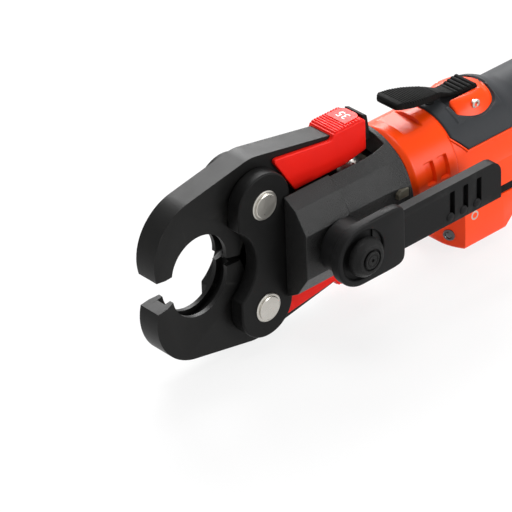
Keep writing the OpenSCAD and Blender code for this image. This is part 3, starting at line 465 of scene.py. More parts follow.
def pad_outline():
    """The pad's side: round ends, and a row of ribs as |sin| bumps along its top."""
    x = np.linspace(PAD_FROM + 0.8, PAD_TO - 0.8, RIB_COUNT * 8 + 1)
    wave = np.abs(np.sin((x - x[0]) / (x[-1] - x[0]) * np.pi * RIB_COUNT)) ** RIB_POWER
    ends = 1.3 * (1 - smooth(x, PAD_FROM, PAD_FROM + 2.6)) + 1.6 * smooth(x, PAD_TO - 3, PAD_TO)
    top = np.stack([x, PAD_TOP - RIB_HEIGHT * (1 - wave) - ends], -1)
    return np.concatenate([top, [(PAD_TO, PAD_TOP - 4), (PAD_FROM, PAD_TOP - 4), (PAD_FROM, PAD_TOP - 2.2)]])


def field_outline():
    """The smooth field for the number, in plan: square towards the ribs and round at the rear."""
    r = FIELD_ROUND
    front = [(FIELD_FROM, FIELD_HALF), (FIELD_FROM, -FIELD_HALF)]
    return np.concatenate([front, arc((FIELD_TO - r, r - FIELD_HALF), r, -90, 0, 10),
                           arc((FIELD_TO - r, FIELD_HALF - r), r, 0, 90, 10)])


def field_patch(side):
    """The field: its outline at three heights above the pivot, drawn in about its middle at the top."""
    field = field_outline() + [PIVOT[0], 0]
    middle = field.mean(0)
    shares = np.array([1, 1, FIELD_TOP_SHARE])[:, None, None]
    tops = side * (PIVOT[1] + np.array([PAD_TOP - 2, FIELD_TOP - 0.25, FIELD_TOP]))[:, None, None]
    xy = (field - middle) * shares + middle
    return patch(on_head(np.concatenate([xy, tops + 0 * xy[..., :1]], -1)))


for half, side in HALVES:
    body, grip_name = f"{half}_jaw", f"tail_grip_{half}"
    grip = across((grip_outline() + PIVOT) * [1, side], [-GRIP_HALF, GRIP_HALF], on_head)
    pad = across((pad_outline() + PIVOT) * [1, side], [-PAD_HALF, PAD_HALF], on_head)
    piece(f"{grip_name}_body", [grip], RED, body, [grip_name], bevel=0.9, segments=4)
    piece(f"{grip_name}_pad", [pad], RED, body, bevel=0.3, segments=2)
    piece(f"{grip_name}_field", [field_patch(side)], RED, body)
    low, high = reach(f"grip_plate_{half}", HEAD_ROLL)
    front, foot = low[0] + 0.05, high[0]
    inner, outer_z = sorted((abs(low[2]), abs(high[2])))
    outline = np.array([(front, inner), (foot, inner), (foot, inner + 5), (front + 3, outer_z - 1.2),
                        (front, outer_z)])
    plate = across(outline * [1, side], [low[1], high[1]], on_head)
    piece(f"end_plate_{half}", [plate], PLATE, body, [f"grip_plate_{half}"], bevel=0.5)


def size_number():
    """The pipe size as a plain raised number on the upper pad, with its top towards the mouth."""
    text = bpy.data.curves.new("size_number", "FONT")
    text.body, text.size, text.extrude = NUMBER, NUMBER_SIZE, NUMBER_RAISE
    text.align_x, text.align_y = "CENTER", "CENTER"
    holder = bpy.data.objects.new("size_number_text", text)
    bpy.context.scene.collection.objects.link(holder)
    bpy.context.view_layer.update()
    mesh = bpy.data.meshes.new_from_object(holder.evaluated_get(bpy.context.evaluated_depsgraph_get()))
    bpy.data.objects.remove(holder)
    flat = np.empty(len(mesh.vertices) * 3)
    mesh.vertices.foreach_get("co", flat)
    u, v, w = flat.reshape(-1, 3).T
    middle = PIVOT[0] + (FIELD_FROM + FIELD_TO) / 2
    points = on_head(np.stack([middle - v, u, PIVOT[1] + FIELD_TOP + w], -1))
    mesh.vertices.foreach_set("co", points.ravel())
    mesh.materials.clear()
    mesh.materials.append(WHITE)
    number = bpy.data.objects.new("size_number", mesh)
    bpy.context.scene.collection.objects.link(number)
    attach(number, "upper_jaw")


size_number()

# Fork
FORK_HALF_W, FORK_HALF_H, FORK_EDGE, FORK_CORNER = 32.3, 32.0, 13.2, 24.4
SLOT_HALF, SLOT_L = 17.0, 73.5
PAD_BACK, PAD_STEP = 77.0, 1.0
NECK_R, NECK_BORE, FLANGE_R, FLANGE_L = 25.0, 22.7, 35.4, 3.5


def prong_section(grow, side):
    """Half of the eight-sided fork, cut by the slot's wall and grown outwards by a length."""
    corner = FORK_CORNER + grow
    top = corner + (corner - SLOT_HALF) / (corner - FORK_EDGE) * (FORK_HALF_H - FORK_CORNER)
    upper = [(SLOT_HALF, top), (corner, corner), (FORK_HALF_W + grow, FORK_EDGE)]
    return np.array(upper + [(y, -z) for y, z in upper[::-1]]) * [side, 1]


fork_low, fork_high = reach("fork", HEAD_ROLL)
slot_end = fork_low[0] + SLOT_L
stations = [fork_low[0], PAD_BACK, PAD_BACK + 0.5, slot_end - 16, slot_end - 10, slot_end - 5, slot_end]
growth = [PAD_STEP, PAD_STEP, 0, 0, 0.35, 1.3, 3.0]
prongs = [along([prong_section(g, side) for g in growth], stations, on_head) for side in (-1, 1)]
neck = ring([(slot_end - 1, NECK_BORE), (slot_end - 1, FLANGE_R - 0.6), (slot_end - 0.4, FLANGE_R),
             (slot_end - 1 + FLANGE_L, FLANGE_R), (slot_end - 0.4 + FLANGE_L, NECK_R), (fork_high[0], NECK_R),
             (fork_high[0], NECK_BORE)], (0, 0, 0), "x", on_head)
piece("fork_prongs", prongs + [neck], CAST, "head", ["fork"], bevel=0.9, sharp_deg=14)

low, high = reach("index_tab", HEAD_ROLL)
tab = [(low[0], low[2]), (high[0], low[2]), (high[0], high[2]), (low[0] + 2, high[2]), (low[0], high[2] - 2)]
piece("tab", [across(tab, [low[1], high[1]], on_head)], TAB, "head", ["index_tab"], bevel=0.4)

# Mounting pin's lock lever, knob and button
BOSS_R, BOSS_BACK, BOSS_POWER = 18.0, 30.5, 9.0
RECESS_R, RECESS_DEPTH = 14.5, 2.5
HUB_R = 15.0
ARM_TOP, ARM_LOW, ARM_CORNER = 13.2, -10.5, 8.0
ARM_FROM, ARM_PLAIN = PIN_X + 8, 120.0
SLOTS, SLOT_WIDTH, SLOT_DEPTH, SLOT_LOW, SLOT_HIGH = (135.0, 145.0, 155.0), 3.2, 2.8, -5.5, 8.4
BUMP_R, BUMP_HEIGHT = 2.8, 0.7
lever_low, lever_high = reach("lock_lever", HEAD_ROLL)
FACE_Y = lever_low[1]
BOSS_T = 6.0
ARM_OUT, ARM_IN = FACE_Y + 1.5, FACE_Y + 7.5


def boss_patch():
    """The lever's boss: rows from the recess floor over its wall, face, round edge and back. The outer rows
    follow the boundary, which is a circle in front of the pin and a rounded rectangle behind it."""
    a = np.linspace(0, 2 * np.pi, 144, endpoint=False)
    c, s = np.cos(a), np.sin(a)
    behind = (np.abs(c / BOSS_BACK) ** BOSS_POWER + np.abs(s / BOSS_R) ** BOSS_POWER) ** (-1 / BOSS_POWER)
    edge = np.where(c > 0, behind, BOSS_R)
    floor = FACE_Y + RECESS_DEPTH
    back = FACE_Y + BOSS_T
    dish = RECESS_R + 0 * a
    rows = [(0 * a, floor), (dish - 0.2, floor), (dish, FACE_Y + 0.5), (dish + 0.5, FACE_Y),
            (edge - 1.5, FACE_Y), (edge - 0.8, FACE_Y + 0.15), (edge - 0.25, FACE_Y + 0.55),
            (edge, FACE_Y + 1.3), (edge, back - 0.8), (edge - 0.8, back), (0 * a, back)]
    radius = np.array([r for r, _ in rows])
    y = np.array([level for _, level in rows])[:, None] + 0 * radius
    return patch(on_head(np.stack([PIN_X + radius * c, y, radius * s], -1)))


def lever_arm_patch():
    """The lever's arm: a section at each x station, whose outer face dips by the slot depth within each slot
    and whose top falls in a quarter round at the end."""
    end = lever_high[0]
    h = SLOT_WIDTH / 2
    cuts = np.array([[m - h - 0.3, m - h, m + h, m + h + 0.3] for m in SLOTS])
    bend = end - ARM_CORNER + ARM_CORNER * np.sin(np.radians(np.linspace(0, 90, 9)))
    x = np.concatenate([[ARM_FROM, ARM_PLAIN], cuts.ravel(), bend])
    depth = np.concatenate([[0, 0], np.tile([0, SLOT_DEPTH, SLOT_DEPTH, 0], len(SLOTS)), np.zeros(len(bend))])
    drop = ARM_CORNER - np.sqrt(np.maximum(ARM_CORNER ** 2 - np.maximum(x - end + ARM_CORNER, 0) ** 2, 0))
    outside, inside, low, top = ARM_OUT + 0 * x, ARM_IN + 0 * x, ARM_LOW + 0 * x, ARM_TOP - drop
    rows = [(inside, low), (outside, low), (outside, SLOT_LOW - 0.4 + 0 * x),
            (outside + depth, SLOT_LOW + 0 * x), (outside + depth, np.minimum(SLOT_HIGH, top - 2)),
            (outside, np.minimum(SLOT_HIGH + 0.4, top - 1.6)), (outside, top), (inside, top)]
    sections = np.stack([np.stack(row, -1) for row in rows], 1)
    return along(sections, x, on_head)


bump = [(ARM_OUT - BUMP_HEIGHT, 0), (ARM_OUT - BUMP_HEIGHT, BUMP_R - 1), (ARM_OUT - 0.3, BUMP_R - 0.25),
        (ARM_OUT + 0.4, BUMP_R)]
bumps = [lathe(bump, (m - 1.6, 0, SLOT_LOW - 0.6), "y", on_head, 40) for m in SLOTS]
hub_end = lever_high[1]
hub = lathe([(FACE_Y + BOSS_T - 1, HUB_R), (hub_end - 0.6, HUB_R), (hub_end, HUB_R - 0.6)],
            (PIN_X, 0, 0), "y", on_head)
piece("lever_boss", [boss_patch(), hub], LEVER, "pin_lever", ["lock_lever"])
piece("lever_arm", [lever_arm_patch()], LEVER, "pin_lever", bevel=0.5)
piece("lever_bumps", bumps, LEVER, "pin_lever")

knob_low, knob_high = reach("pin_knob", HEAD_ROLL)
out, r = knob_low[1], (knob_high[0] - knob_low[0]) / 2
knob = [(knob_high[1], r - 0.5), (FACE_Y - 0.3, r), (out + 3.6, r), (out + 2.4, r - 0.5),
        (out + 1.3, r - 1.6), (out + 0.4, r - 2.4), (out, r - 3.0), (out, r - 4.6),
        (out + 0.2, r - 4.8), (out + 1.1, r - 4.8), (out + 1.1, 0)]
piece("knob", [lathe(knob, (PIN_X, 0, 0), "y", on_head, 96)], BLACK, "jaw_pin", ["pin_knob"])
low, high = reach("lock_button", HEAD_ROLL)
face, r = low[1], (high[0] - low[0]) / 2
button = [(out + 3.5, r), (face + 0.4, r), (face, r - 0.5), (face, r - 1.3), (face + 0.25, r - 1.5),
          (face + 0.25, r - 1.9), (face, r - 2.1), (face, 1.0), (face + 0.9, 0.7), (face + 0.9, 0)]
piece("knob_button", [lathe(button, (PIN_X, 0, 0), "y", on_head)], BLACK, "pin_button",
      ["lock_button"])

# Front collar
collar_low, collar_high = reach("front_collar")
COLLAR_R, COLLAR_BORE, COLLAR_STEP = collar_high[1], 25.3, 0.4
COLLAR_CHAMFER, COLLAR_EDGE = 2.6, 0.5
WINDOW_Z, WINDOW_HALF, WINDOW_FRONT, WINDOW_BACK = 26.0, 12.0, 9.4, 9.3
NOTCH_X, NOTCH_HALF, NOTCH_DEG, NOTCH_SPAN, NOTCH_DEPTH = (141.9, 152.0), 3.3, 75.0, 13.0, 2.2


def collar_patch():
    """The collar: a radius over x and the angle from the top, with a chamfered front, a flat window floor on
    top, where the radius is floor height / cos, and two notches on each side."""
    front, rear = collar_low[0], collar_high[0]
    x = np.concatenate([[front], np.arange(front + COLLAR_STEP, rear, COLLAR_STEP), [rear]])
    deg = np.linspace(-180, 180, 480, endpoint=False)
    X, A = np.meshgrid(x, np.radians(deg), indexing="ij")
    r = COLLAR_R - COLLAR_CHAMFER * (1 - smooth(X, front - 1.5, front + 3.4))
    r = r - COLLAR_EDGE * smooth(X, rear - 0.6, rear)
    y = r * np.sin(A)
    inside = (smooth(X, front + WINDOW_FRONT, front + WINDOW_FRONT + 0.8)
              * (1 - smooth(X, rear - WINDOW_BACK - 0.8, rear - WINDOW_BACK))
              * (1 - smooth(np.abs(y), WINDOW_HALF - 0.6, WINDOW_HALF + 0.2)) * (np.abs(A) < 1))
    floor = WINDOW_Z / np.maximum(np.cos(A), 0.5)
    r = r + inside * (np.minimum(floor, r) - r)
    for centre in NOTCH_X:
        r = r - NOTCH_DEPTH * (1 - smooth(np.abs(X - centre), NOTCH_HALF - 0.4, NOTCH_HALF)) \
            * (1 - smooth(np.abs(np.abs(np.degrees(A)) - NOTCH_DEG), NOTCH_SPAN - 0.9, NOTCH_SPAN))
    outer = np.stack([X, r * np.sin(A), r * np.cos(A)], -1)
    inner = np.stack([X, COLLAR_BORE * np.sin(A), COLLAR_BORE * np.cos(A)], -1)[::-1]
    return patch(on_body(np.concatenate([outer, inner])), wrap_rows=True, caps=False)


piece("collar", [collar_patch()], ORANGE, "tool_body", ["front_collar"], sharp_deg=50)

# Barrel shells and overmould
BARREL_R, GRIP_R, FLARE_R, WALL = 28.0, 22.6, 34.0, 2.6
BARREL_END, TAPER_L, GRIP_END, FLARE_POWER = 205.0, 16.0, 352.0, 1.6
shell_low, shell_high = reach("shell_near")
VENT_X, VENT_STEP, VENT_COUNT, VENT_HALF, VENT_DEG = 312.0, 8.0, 5, 1.6, 26.0
VENT_MID_DEG, VENT_DEPTH, VENTS_FROM, VENTS_TO = 100.0, 1.6, 306.0, 350.0
SEAM_DEPTH, SEAM_FROM_DEG, SEAM_TO_DEG, SEAM_GAP_DEG = 0.5, 0.2, 1.1, 0.12


def barrel_radius(x):
    """Barrel radius along the tool: full, eased down to the grip, then flared at the rear."""
    down = smooth(x, BARREL_END, BARREL_END + TAPER_L)
    out = np.clip((x - GRIP_END) / (shell_high[0] - GRIP_END), 0, 1) ** FLARE_POWER
    return BARREL_R + (GRIP_R - BARREL_R) * down + (FLARE_R - GRIP_R) * out


def shell_patch(side):
    """Half of the barrel: the radius over x and the angle from the top, with a fine groove at both seams and
    a row of vents cut into its side near the motor."""
    x = np.concatenate([np.linspace(shell_low[0], VENTS_FROM, 70),
                        np.linspace(VENTS_FROM + 0.5, VENTS_TO, 130),
                        np.linspace(VENTS_TO + 1, shell_high[0], 16)])
    deg = np.linspace(SEAM_GAP_DEG, 180 - SEAM_GAP_DEG, 160)
    X, A = np.meshgrid(x, np.radians(deg), indexing="ij")
    r = barrel_radius(X)
    seam = np.minimum(np.degrees(A), 180 - np.degrees(A))
    r = r - SEAM_DEPTH * (1 - smooth(seam, SEAM_FROM_DEG, SEAM_TO_DEG))
    for i in range(VENT_COUNT):
        vent = (1 - smooth(np.abs(X - VENT_X - i * VENT_STEP), VENT_HALF - 0.5, VENT_HALF)) \
            * (1 - smooth(np.abs(np.degrees(A) - VENT_MID_DEG), VENT_DEG - 2.5, VENT_DEG))
        r = r - VENT_DEPTH * vent
    outer = np.stack([X, side * r * np.sin(A), r * np.cos(A)], -1)
    inside = barrel_radius(X) - WALL
    inner = np.stack([X, side * inside * np.sin(A), inside * np.cos(A)], -1)
    both = np.concatenate([outer, inner[:, ::-1]], 1)
    return patch(on_body(both), wrap_columns=True, caps=True)


for flank, side in FLANKS:
    piece(f"barrel_{flank}", [shell_patch(side)], ORANGE, "tool_body",
          [f"shell_{flank}"], sharp_deg=60)

mould_low, mould_high = reach("overmould")
MOULD_DEG, MOULD_T, MOULD_CORNER, MOULD_ROUND, SLANT_DEG = 70.0, 1.1, 8.5, 1.4, 50.0
bracket_low, bracket_high = reach("trigger_bracket")
POD_HALF, POD_X, POD_RUN, POD_CROWN, POD_SLANT = bracket_high[1], 189.0, 30.0, 1.8, 5.5
POD_FRONT, POD_BACK, POD_TOP = bracket_low[0], bracket_high[0], bracket_high[2]
POD_TAIL, POD_EDGE, POD_DROP = 5.0, 1.4, 1.9
DECK_FROM, DECK_TO, DECK_HALF, DECK_IN, DECK_RISE = 170.5, 204.5, 19.0, 9.2, 0.7
BEAD_FROM_DEG, BEAD_DEG, BEAD_AHEAD, BEAD_R, BEAD_LIFT, BEAD_ROWS = 46.0, MOULD_DEG + 0.9, 0.9, 0.55, 0.35, 26


def pod_half(x):
    """Half width of the pod at x: a parabola, drawn in round at the rear end."""
    end = np.sqrt(np.clip(1 - (np.clip(x - POD_BACK + POD_TAIL, 0, POD_TAIL) / POD_TAIL) ** 2, 0.02, 1))
    return POD_HALF * (1 - ((x - POD_X) / POD_RUN) ** 2) * end ** 0.6


def mould_front(deg):
    """Front edge of the overmould: level over the top and slanted back to a corner at each side."""
    slant = np.clip((np.abs(deg) - SLANT_DEG) / (MOULD_DEG - SLANT_DEG), 0, 1)
    return mould_low[0] + 0.4 + MOULD_CORNER * slant


def mould_points(u, deg, lift):
    """Points on the barrel at a share u from the front edge to the rear edge, at an angle from the top,
    lifted outwards, with a raised deck beside the trigger bracket and a sunk room under it."""
    front = mould_front(deg)
    x = front + u * (mould_high[0] - front)
    r = barrel_radius(x) + lift
    y = r * np.sin(np.radians(deg))
    deck = smooth(x, DECK_FROM, DECK_FROM + 1) * (1 - smooth(x, DECK_TO - 1, DECK_TO))
    deck = deck * (1 - smooth(np.abs(y), DECK_HALF - 0.6, DECK_HALF))
    deck = deck * smooth(np.abs(y), DECK_IN - 1, DECK_IN)
    room = smooth(x, POD_FRONT - 1.6, POD_FRONT - 0.8) * (1 - smooth(x, POD_BACK + 0.4, POD_BACK + 1.2))
    room = room * (1 - smooth(np.abs(y) - pod_half(np.clip(x, POD_FRONT, POD_BACK)), 0.5, 1.3))
    r = r + (DECK_RISE * deck * (lift > 0.5)) * (1 - room) - 0.9 * lift * room
    return np.stack([x, r * np.sin(np.radians(deg)), r * np.cos(np.radians(deg))], -1)


def mould_patch():
    """The soft overmould: an outer sheet with a rounded border over an inner sheet on the barrel."""
    u = np.concatenate([np.linspace(0, 0.24, 120), np.linspace(0.245, 1, 100)])
    deg = np.linspace(-MOULD_DEG, MOULD_DEG, 200)
    U, A = np.meshgrid(u, deg, indexing="ij")
    length = mould_high[0] - mould_low[0]
    beside = (MOULD_DEG - np.abs(A)) * BARREL_R * math.pi / 180
    border = np.minimum.reduce([U * length, (1 - U) * length, beside])
    lift = MOULD_T * np.sqrt(np.clip(1 - (1 - np.clip(border / MOULD_ROUND, 0, 1)) ** 2, 0, 1))
    outer = mould_points(U, A, 0.06 + lift)
    inner = mould_points(U, A, 0.05 + 0 * lift)
    rows, columns = U.shape
    faces = grid_faces(rows, columns, False, False)
    flipped = faces[:, ::-1] + rows * columns
    rim = np.concatenate([np.arange(columns), np.arange(2 * columns - 1, rows * columns, columns),
                          np.arange((rows - 1) * columns, rows * columns)[::-1][1:],
                          np.arange((rows - 2) * columns, 0, -columns)])
    side = np.stack([rim, np.roll(rim, -1), np.roll(rim, -1) + rows * columns, rim + rows * columns], -1)
    points = on_body(np.concatenate([outer.reshape(-1, 3), inner.reshape(-1, 3)]))
    return points, np.concatenate([faces, flipped, side]).tolist()


def border_patch():
    """A slim orange bead beside the overmould: a round profile carried along its sides and its slanted
    corners."""
    u = np.linspace(0, 1, 240)
    sides = []
    for s in (-1, 1):
        deg = np.concatenate([s * np.linspace(BEAD_FROM_DEG, BEAD_DEG, BEAD_ROWS), s * BEAD_DEG + 0 * u[1:]])
        front = mould_front(np.clip(np.abs(deg), 0, MOULD_DEG)) - BEAD_AHEAD
        corner = front[BEAD_ROWS - 1]
        x = np.concatenate([front[:BEAD_ROWS], corner + u[1:] * (mould_high[0] - corner)])
        a = np.linspace(0, 2 * np.pi, 12, endpoint=False)
        r = barrel_radius(x)[:, None] + BEAD_LIFT + BEAD_R * np.sin(a)
        angle = np.radians(deg)[:, None] + BEAD_R * np.cos(a) / BARREL_R * s
        spread = np.where(np.arange(len(x))[:, None] < BEAD_ROWS, -0.4 * np.cos(a), 0)
        bead = np.stack([x[:, None] + spread, r * np.sin(angle), r * np.cos(angle)], -1)
        sides.append(patch(on_body(bead)))
    return sides


piece("overmould_skin", [mould_patch()], SOFT, "tool_body", ["overmould"], sharp_deg=60)
piece("overmould_border", border_patch(), ORANGE, "tool_body", sharp_deg=60)

# Trigger bracket, trigger and its pin
POD_SLOT, POD_SLOT_BACK, POD_FALL = 8.0, 197.8, 198.6
TRIGGER = np.array(JOINTS["trigger_press"]["pos_m"]) / MM


def pod_top(x):
    """Height of the pod's middle line: level, then falling to its tail, with a round front edge."""
    run = np.clip((x - POD_FRONT) / POD_EDGE, 0, 1)
    front = POD_EDGE * (1 - np.sqrt(np.clip(1 - (1 - run) ** 2, 0, 1)))
    return POD_TOP - POD_DROP * smooth(x, POD_FALL - 1, POD_BACK + 1) - front


def pod_section(x, inner):
    """One flank of the pod at x: an inner wall, a gently crowned top out to a ridge, and a slanted, slightly
    full wall from the ridge down to the foot on the barrel."""
    w, top = pod_half(x), pod_top(x)
    w = max(w, inner + 2.6)
    ridge = max(w - POD_SLANT, inner + 1.2)
    foot = [math.sqrt(BARREL_R ** 2 - v ** 2) - 0.6 for v in (inner, w)]
    y = inner + (ridge - inner) * np.linspace(0, 1, 10)
    z = np.maximum(top - POD_CROWN * ((y - inner) / (ridge - inner)) ** 2, foot[0] + 0.5)
    t = np.linspace(0, 1, 9)[1:]
    wall = np.stack([ridge + (w - ridge) * t, z[-1] + (foot[1] - z[-1]) * t + 0.7 * np.sin(np.pi * t)], -1)
    return np.concatenate([[(inner, foot[0])], np.stack([y, z], -1), wall])


def bracket_patches():
    """The bracket: two flanks beside the slot and a solid tail behind it, each a row of sections along x."""
    nose = POD_FRONT + 2.2 * (1 - np.cos(np.linspace(0, np.pi / 2, 7)))
    x = np.concatenate([nose, np.linspace(POD_FRONT + 3, POD_SLOT_BACK + 0.4, 24)])
    flank = np.array([pod_section(v, POD_SLOT) for v in x])
    round_end = POD_BACK - 3 + 3 * np.sin(np.linspace(0, np.pi / 2, 8))[1:]
    tail_x = np.concatenate([np.linspace(POD_SLOT_BACK, POD_BACK - 3, 18), round_end])
    tail = np.array([pod_section(v, 0.01) for v in tail_x])
    parts = ((flank, x), (tail, tail_x))
    return [along(sections * [side, 1], where, on_body) for sections, where in parts for side in (-1, 1)]


piece("bracket", bracket_patches(), ORANGE, "tool_body", ["trigger_bracket"], sharp_deg=48)

pin_low, pin_high = reach("trigger_pin")
end, r = pin_high[1] + 0.9, (pin_high[0] - pin_low[0]) / 2
rim = [(end - 1.2, r), (end - 0.5, r + 0.1), (end - 0.35, r + 0.75), (end + 0.1, r + 0.75),
       (end + 0.35, r + 0.3), (end + 0.3, r - 0.5), (end - 0.2, 1.15), (end - 3, 1.0), (end - 3, 0.02)]
far_end = [(pin_high[1] - 1.0, r), (pin_high[1] - 0.6, r - 0.4), (pin_high[1] - 0.6, 0)]
roll_pin = [(-y, v) for y, v in rim[::-1]] + far_end
piece("roll_pin", [lathe(roll_pin, (TRIGGER[0], 0, TRIGGER[2]), "y", on_body, 48)], STEEL, "tool_body",
      ["trigger_pin"])

trigger_low, trigger_high = reach("trigger_lever")
PADDLE_RIBS, PADDLE_RIB, REAR_RIBS, REAR_RIB = 16, 1.0, 5, 1.2
PADDLE_FROM, PADDLE_TO, REAR_FROM = 139.0, 169.0, 181.0
TOP_ROUND, LOW_ROUND = 0.7, 1.1
# Rows of x, top, thickness and half width along the trigger
ROCKER = np.array([
    (136.0, 43.0, 2.6, 7.4), (137.0, 43.9, 3.6, 8.3), (138.5, 44.3, 4.2, 9.0), (141.0, 43.9, 4.4, 9.3),
    (147.0, 42.6, 4.4, 9.8), (155.0, 40.9, 4.4, 9.0), (161.3, 39.2, 4.4, 7.8), (166.1, 37.9, 4.4, 6.6),
    (169.3, 36.7, 4.4, 5.2), (172.4, 35.5, 4.0, 4.2), (176.0, 33.8, 3.3, 4.2), (179.2, 32.7, 3.0, 5.2),
    (183.1, 32.7, 3.0, 6.1), (187.0, 32.9, 3.2, 6.7), (193.9, 33.1, 3.4, 7.5), (196.8, 33.0, 3.3, 7.5)])


def trigger_patch():
    """The rocking trigger: a rounded rectangle at each x station, whose top, thickness and half width follow
    rows of measured places, with cross ribs as |sin| ridges on the paddle and on the rear pad."""
    x = np.concatenate([np.linspace(trigger_low[0], PADDLE_FROM - 0.2, 12),
                        np.linspace(PADDLE_FROM, PADDLE_TO, PADDLE_RIBS * 10 + 1),
                        np.linspace(PADDLE_TO + 0.5, REAR_FROM - 0.5, 20),
                        np.linspace(REAR_FROM, trigger_high[0], REAR_RIBS * 14 + 1)])
    t = np.clip((x - PADDLE_FROM) / (PADDLE_TO - PADDLE_FROM), 0, 1)
    s = np.clip((x - REAR_FROM) / (trigger_high[0] - REAR_FROM), 0, 1)
    ribs = PADDLE_RIB * (1 - np.abs(np.sin(t * np.pi * PADDLE_RIBS)) ** RIB_POWER) * (t > 0) * (t < 1) \
        + REAR_RIB * (1 - np.abs(np.sin(s * np.pi * REAR_RIBS)) ** RIB_POWER) * (s > 0)
    line, thick, half = (np.interp(x, ROCKER[:, 0], ROCKER[:, i]) for i in (1, 2, 3))
    low, top = line - thick, line - ribs
    corner = 1 - arc((0, 0), 1.0, 0, 90, 5)
    right_top = np.stack([half[:, None] - TOP_ROUND * corner[:, 0],
                          top[:, None] - TOP_ROUND * corner[:, 1]], -1)
    right_low = np.stack([half[:, None] - LOW_ROUND * corner[::-1, 0],
                          low[:, None] + LOW_ROUND * corner[::-1, 1]], -1)
    mirror = np.array([-1, 1])
    left_top, left_low = right_top[:, ::-1] * mirror, right_low[:, ::-1] * mirror
    return along(np.concatenate([right_low, right_top, left_top, left_low], 1), x, on_body)


piece("trigger_rocker", [trigger_patch()], RUBBER, "trigger", ["trigger_lever"],
      sharp_deg=50)

# Keel with its work light and screws
keel_low, keel_high = reach("keel_cover")
NOSE_W, NOSE_BACK, PROW_ROUND, KEEL_MID, RISE_X = 10.0, 168.0, 6.5, 184.0, 200.0
STRIP_LOW, STRIP_HIGH, STRIP_IN = -29.0, -24.0, 0.9
STRIP_SUNK, STRIP_PLAY, STRIP_TAIL = 0.35, 0.25, 22.5


def keel_half(x):
    """The keel's half width along x: a blunt prow, then straight sides."""
    return np.interp(x, [keel_low[0], NOSE_BACK], [NOSE_W, keel_high[1]])


def keel_patch():
    """The keel: sections along x with a round lower edge and a groove for the dark strip. Its base is drawn
    up in a quarter round under the prow and rises straight behind."""
    nose = keel_low[0] + PROW_ROUND * (1 - np.cos(np.linspace(0, np.pi / 2, 9)))
    x = np.concatenate([nose, [NOSE_BACK, KEEL_MID, RISE_X - 3, RISE_X, RISE_X + 3],
                        np.linspace(RISE_X + 5, keel_high[0] - 0.5, 24)])
    run = np.clip((x - keel_low[0]) / PROW_ROUND, 0, 1)
    lift = PROW_ROUND * (1 - np.sqrt(np.clip(1 - (1 - run) ** 2, 0, 1)))
    base = keel_low[2] + lift + np.maximum(x - RISE_X, 0)
    w = keel_half(x)
    levels = [(base, 2.0), (base + 0.5, 0.7), (base + 1.8, 0.0), (STRIP_LOW - 0.3, 0.0),
              (STRIP_LOW, STRIP_IN), (STRIP_HIGH, STRIP_IN), (STRIP_HIGH + 0.3, 0.0), (keel_high[2], 0.0)]
    half = [np.stack([w - inset, np.clip(z, base + 0.02 * i, keel_high[2] + 0.02 * i)], -1)
            for i, (z, inset) in enumerate(levels)]
    right = np.stack(half, 1)
    return along(np.concatenate([right, right[:, ::-1] * [-1, 1]], 1), x, on_body)


def strip_patch(side):
    """The dark strip in the groove of one side: a slim bar following the keel's half width."""
    x = np.array([keel_low[0] + 2.5, NOSE_BACK, RISE_X, RISE_X + STRIP_TAIL])
    w = keel_half(x)[:, None] - [STRIP_IN + 0.4, STRIP_SUNK, STRIP_SUNK, STRIP_IN + 0.4]
    low, high = STRIP_LOW + STRIP_PLAY, STRIP_HIGH - STRIP_PLAY
    z = np.array([low, low, high, high]) + 0 * w
    return along(np.stack([side * w, z], -1), x, on_body)


piece("keel", [keel_patch()], ORANGE, "tool_body", ["keel_cover"], bevel=0.5, sharp_deg=38)
piece("keel_strip", [strip_patch(side) for side in (-1, 1)], RUBBER, "tool_body")

PROW_RUN = np.array([NOSE_BACK - keel_low[0], keel_high[1] - NOSE_W])
PROW_TURN = math.atan2(-PROW_RUN[0], -PROW_RUN[1])
LAMP_Z, LAMP_R = -44.7, 3.4


def on_prow(points):
    """Points of the near prow face, with +X out of it, put on the body in metres."""
    p = np.asarray(points, float)
    c, s = math.cos(PROW_TURN), math.sin(PROW_TURN)
    middle = np.array([keel_low[0] + PROW_RUN[0] / 2, -(NOSE_W + PROW_RUN[1] / 2), LAMP_Z])
    turned = np.stack([c * p[..., 0] - s * p[..., 1], s * p[..., 0] + c * p[..., 1], p[..., 2]], -1)
    return on_body(turned + middle)


lamp = [(-2.0, LAMP_R), (0.5, LAMP_R), (0.6, LAMP_R - 0.3), (0.6, LAMP_R - 1.0), (0.1, LAMP_R - 1.3),
        (0.5, LAMP_R - 2.2), (0.75, 0)]
piece("lamp_lens", [lathe(lamp, (0, 0, 0), "x", on_prow)], LENS, "tool_body", ["work_light"])

SCREW_X, SCREW_Z, SCREW_R = (175.4, 208.0), -33.5, 3.0
SCREW = [(-2.5, SCREW_R), (-0.25, SCREW_R), (0.05, SCREW_R - 0.35), (0.05, 1.75), (-0.2, 1.55), (-1.6, 1.5),
         (-1.6, 0)]
SCREW_HEX = (4, 5)


def side_screw(x, side):
    """A hexagon socket screw in the keel's side: its profile turned about a line across the tool."""
    profile = [(side * (keel_high[1] + a), r) for a, r in SCREW]
    return lathe(profile, (x, 0, SCREW_Z), "y", on_body, 48, SCREW_HEX)


screws = [side_screw(x, side) for x in SCREW_X for side in (-1, 1)]
piece("keel_screw_heads", screws, STEEL, "tool_body", ["keel_screws"])

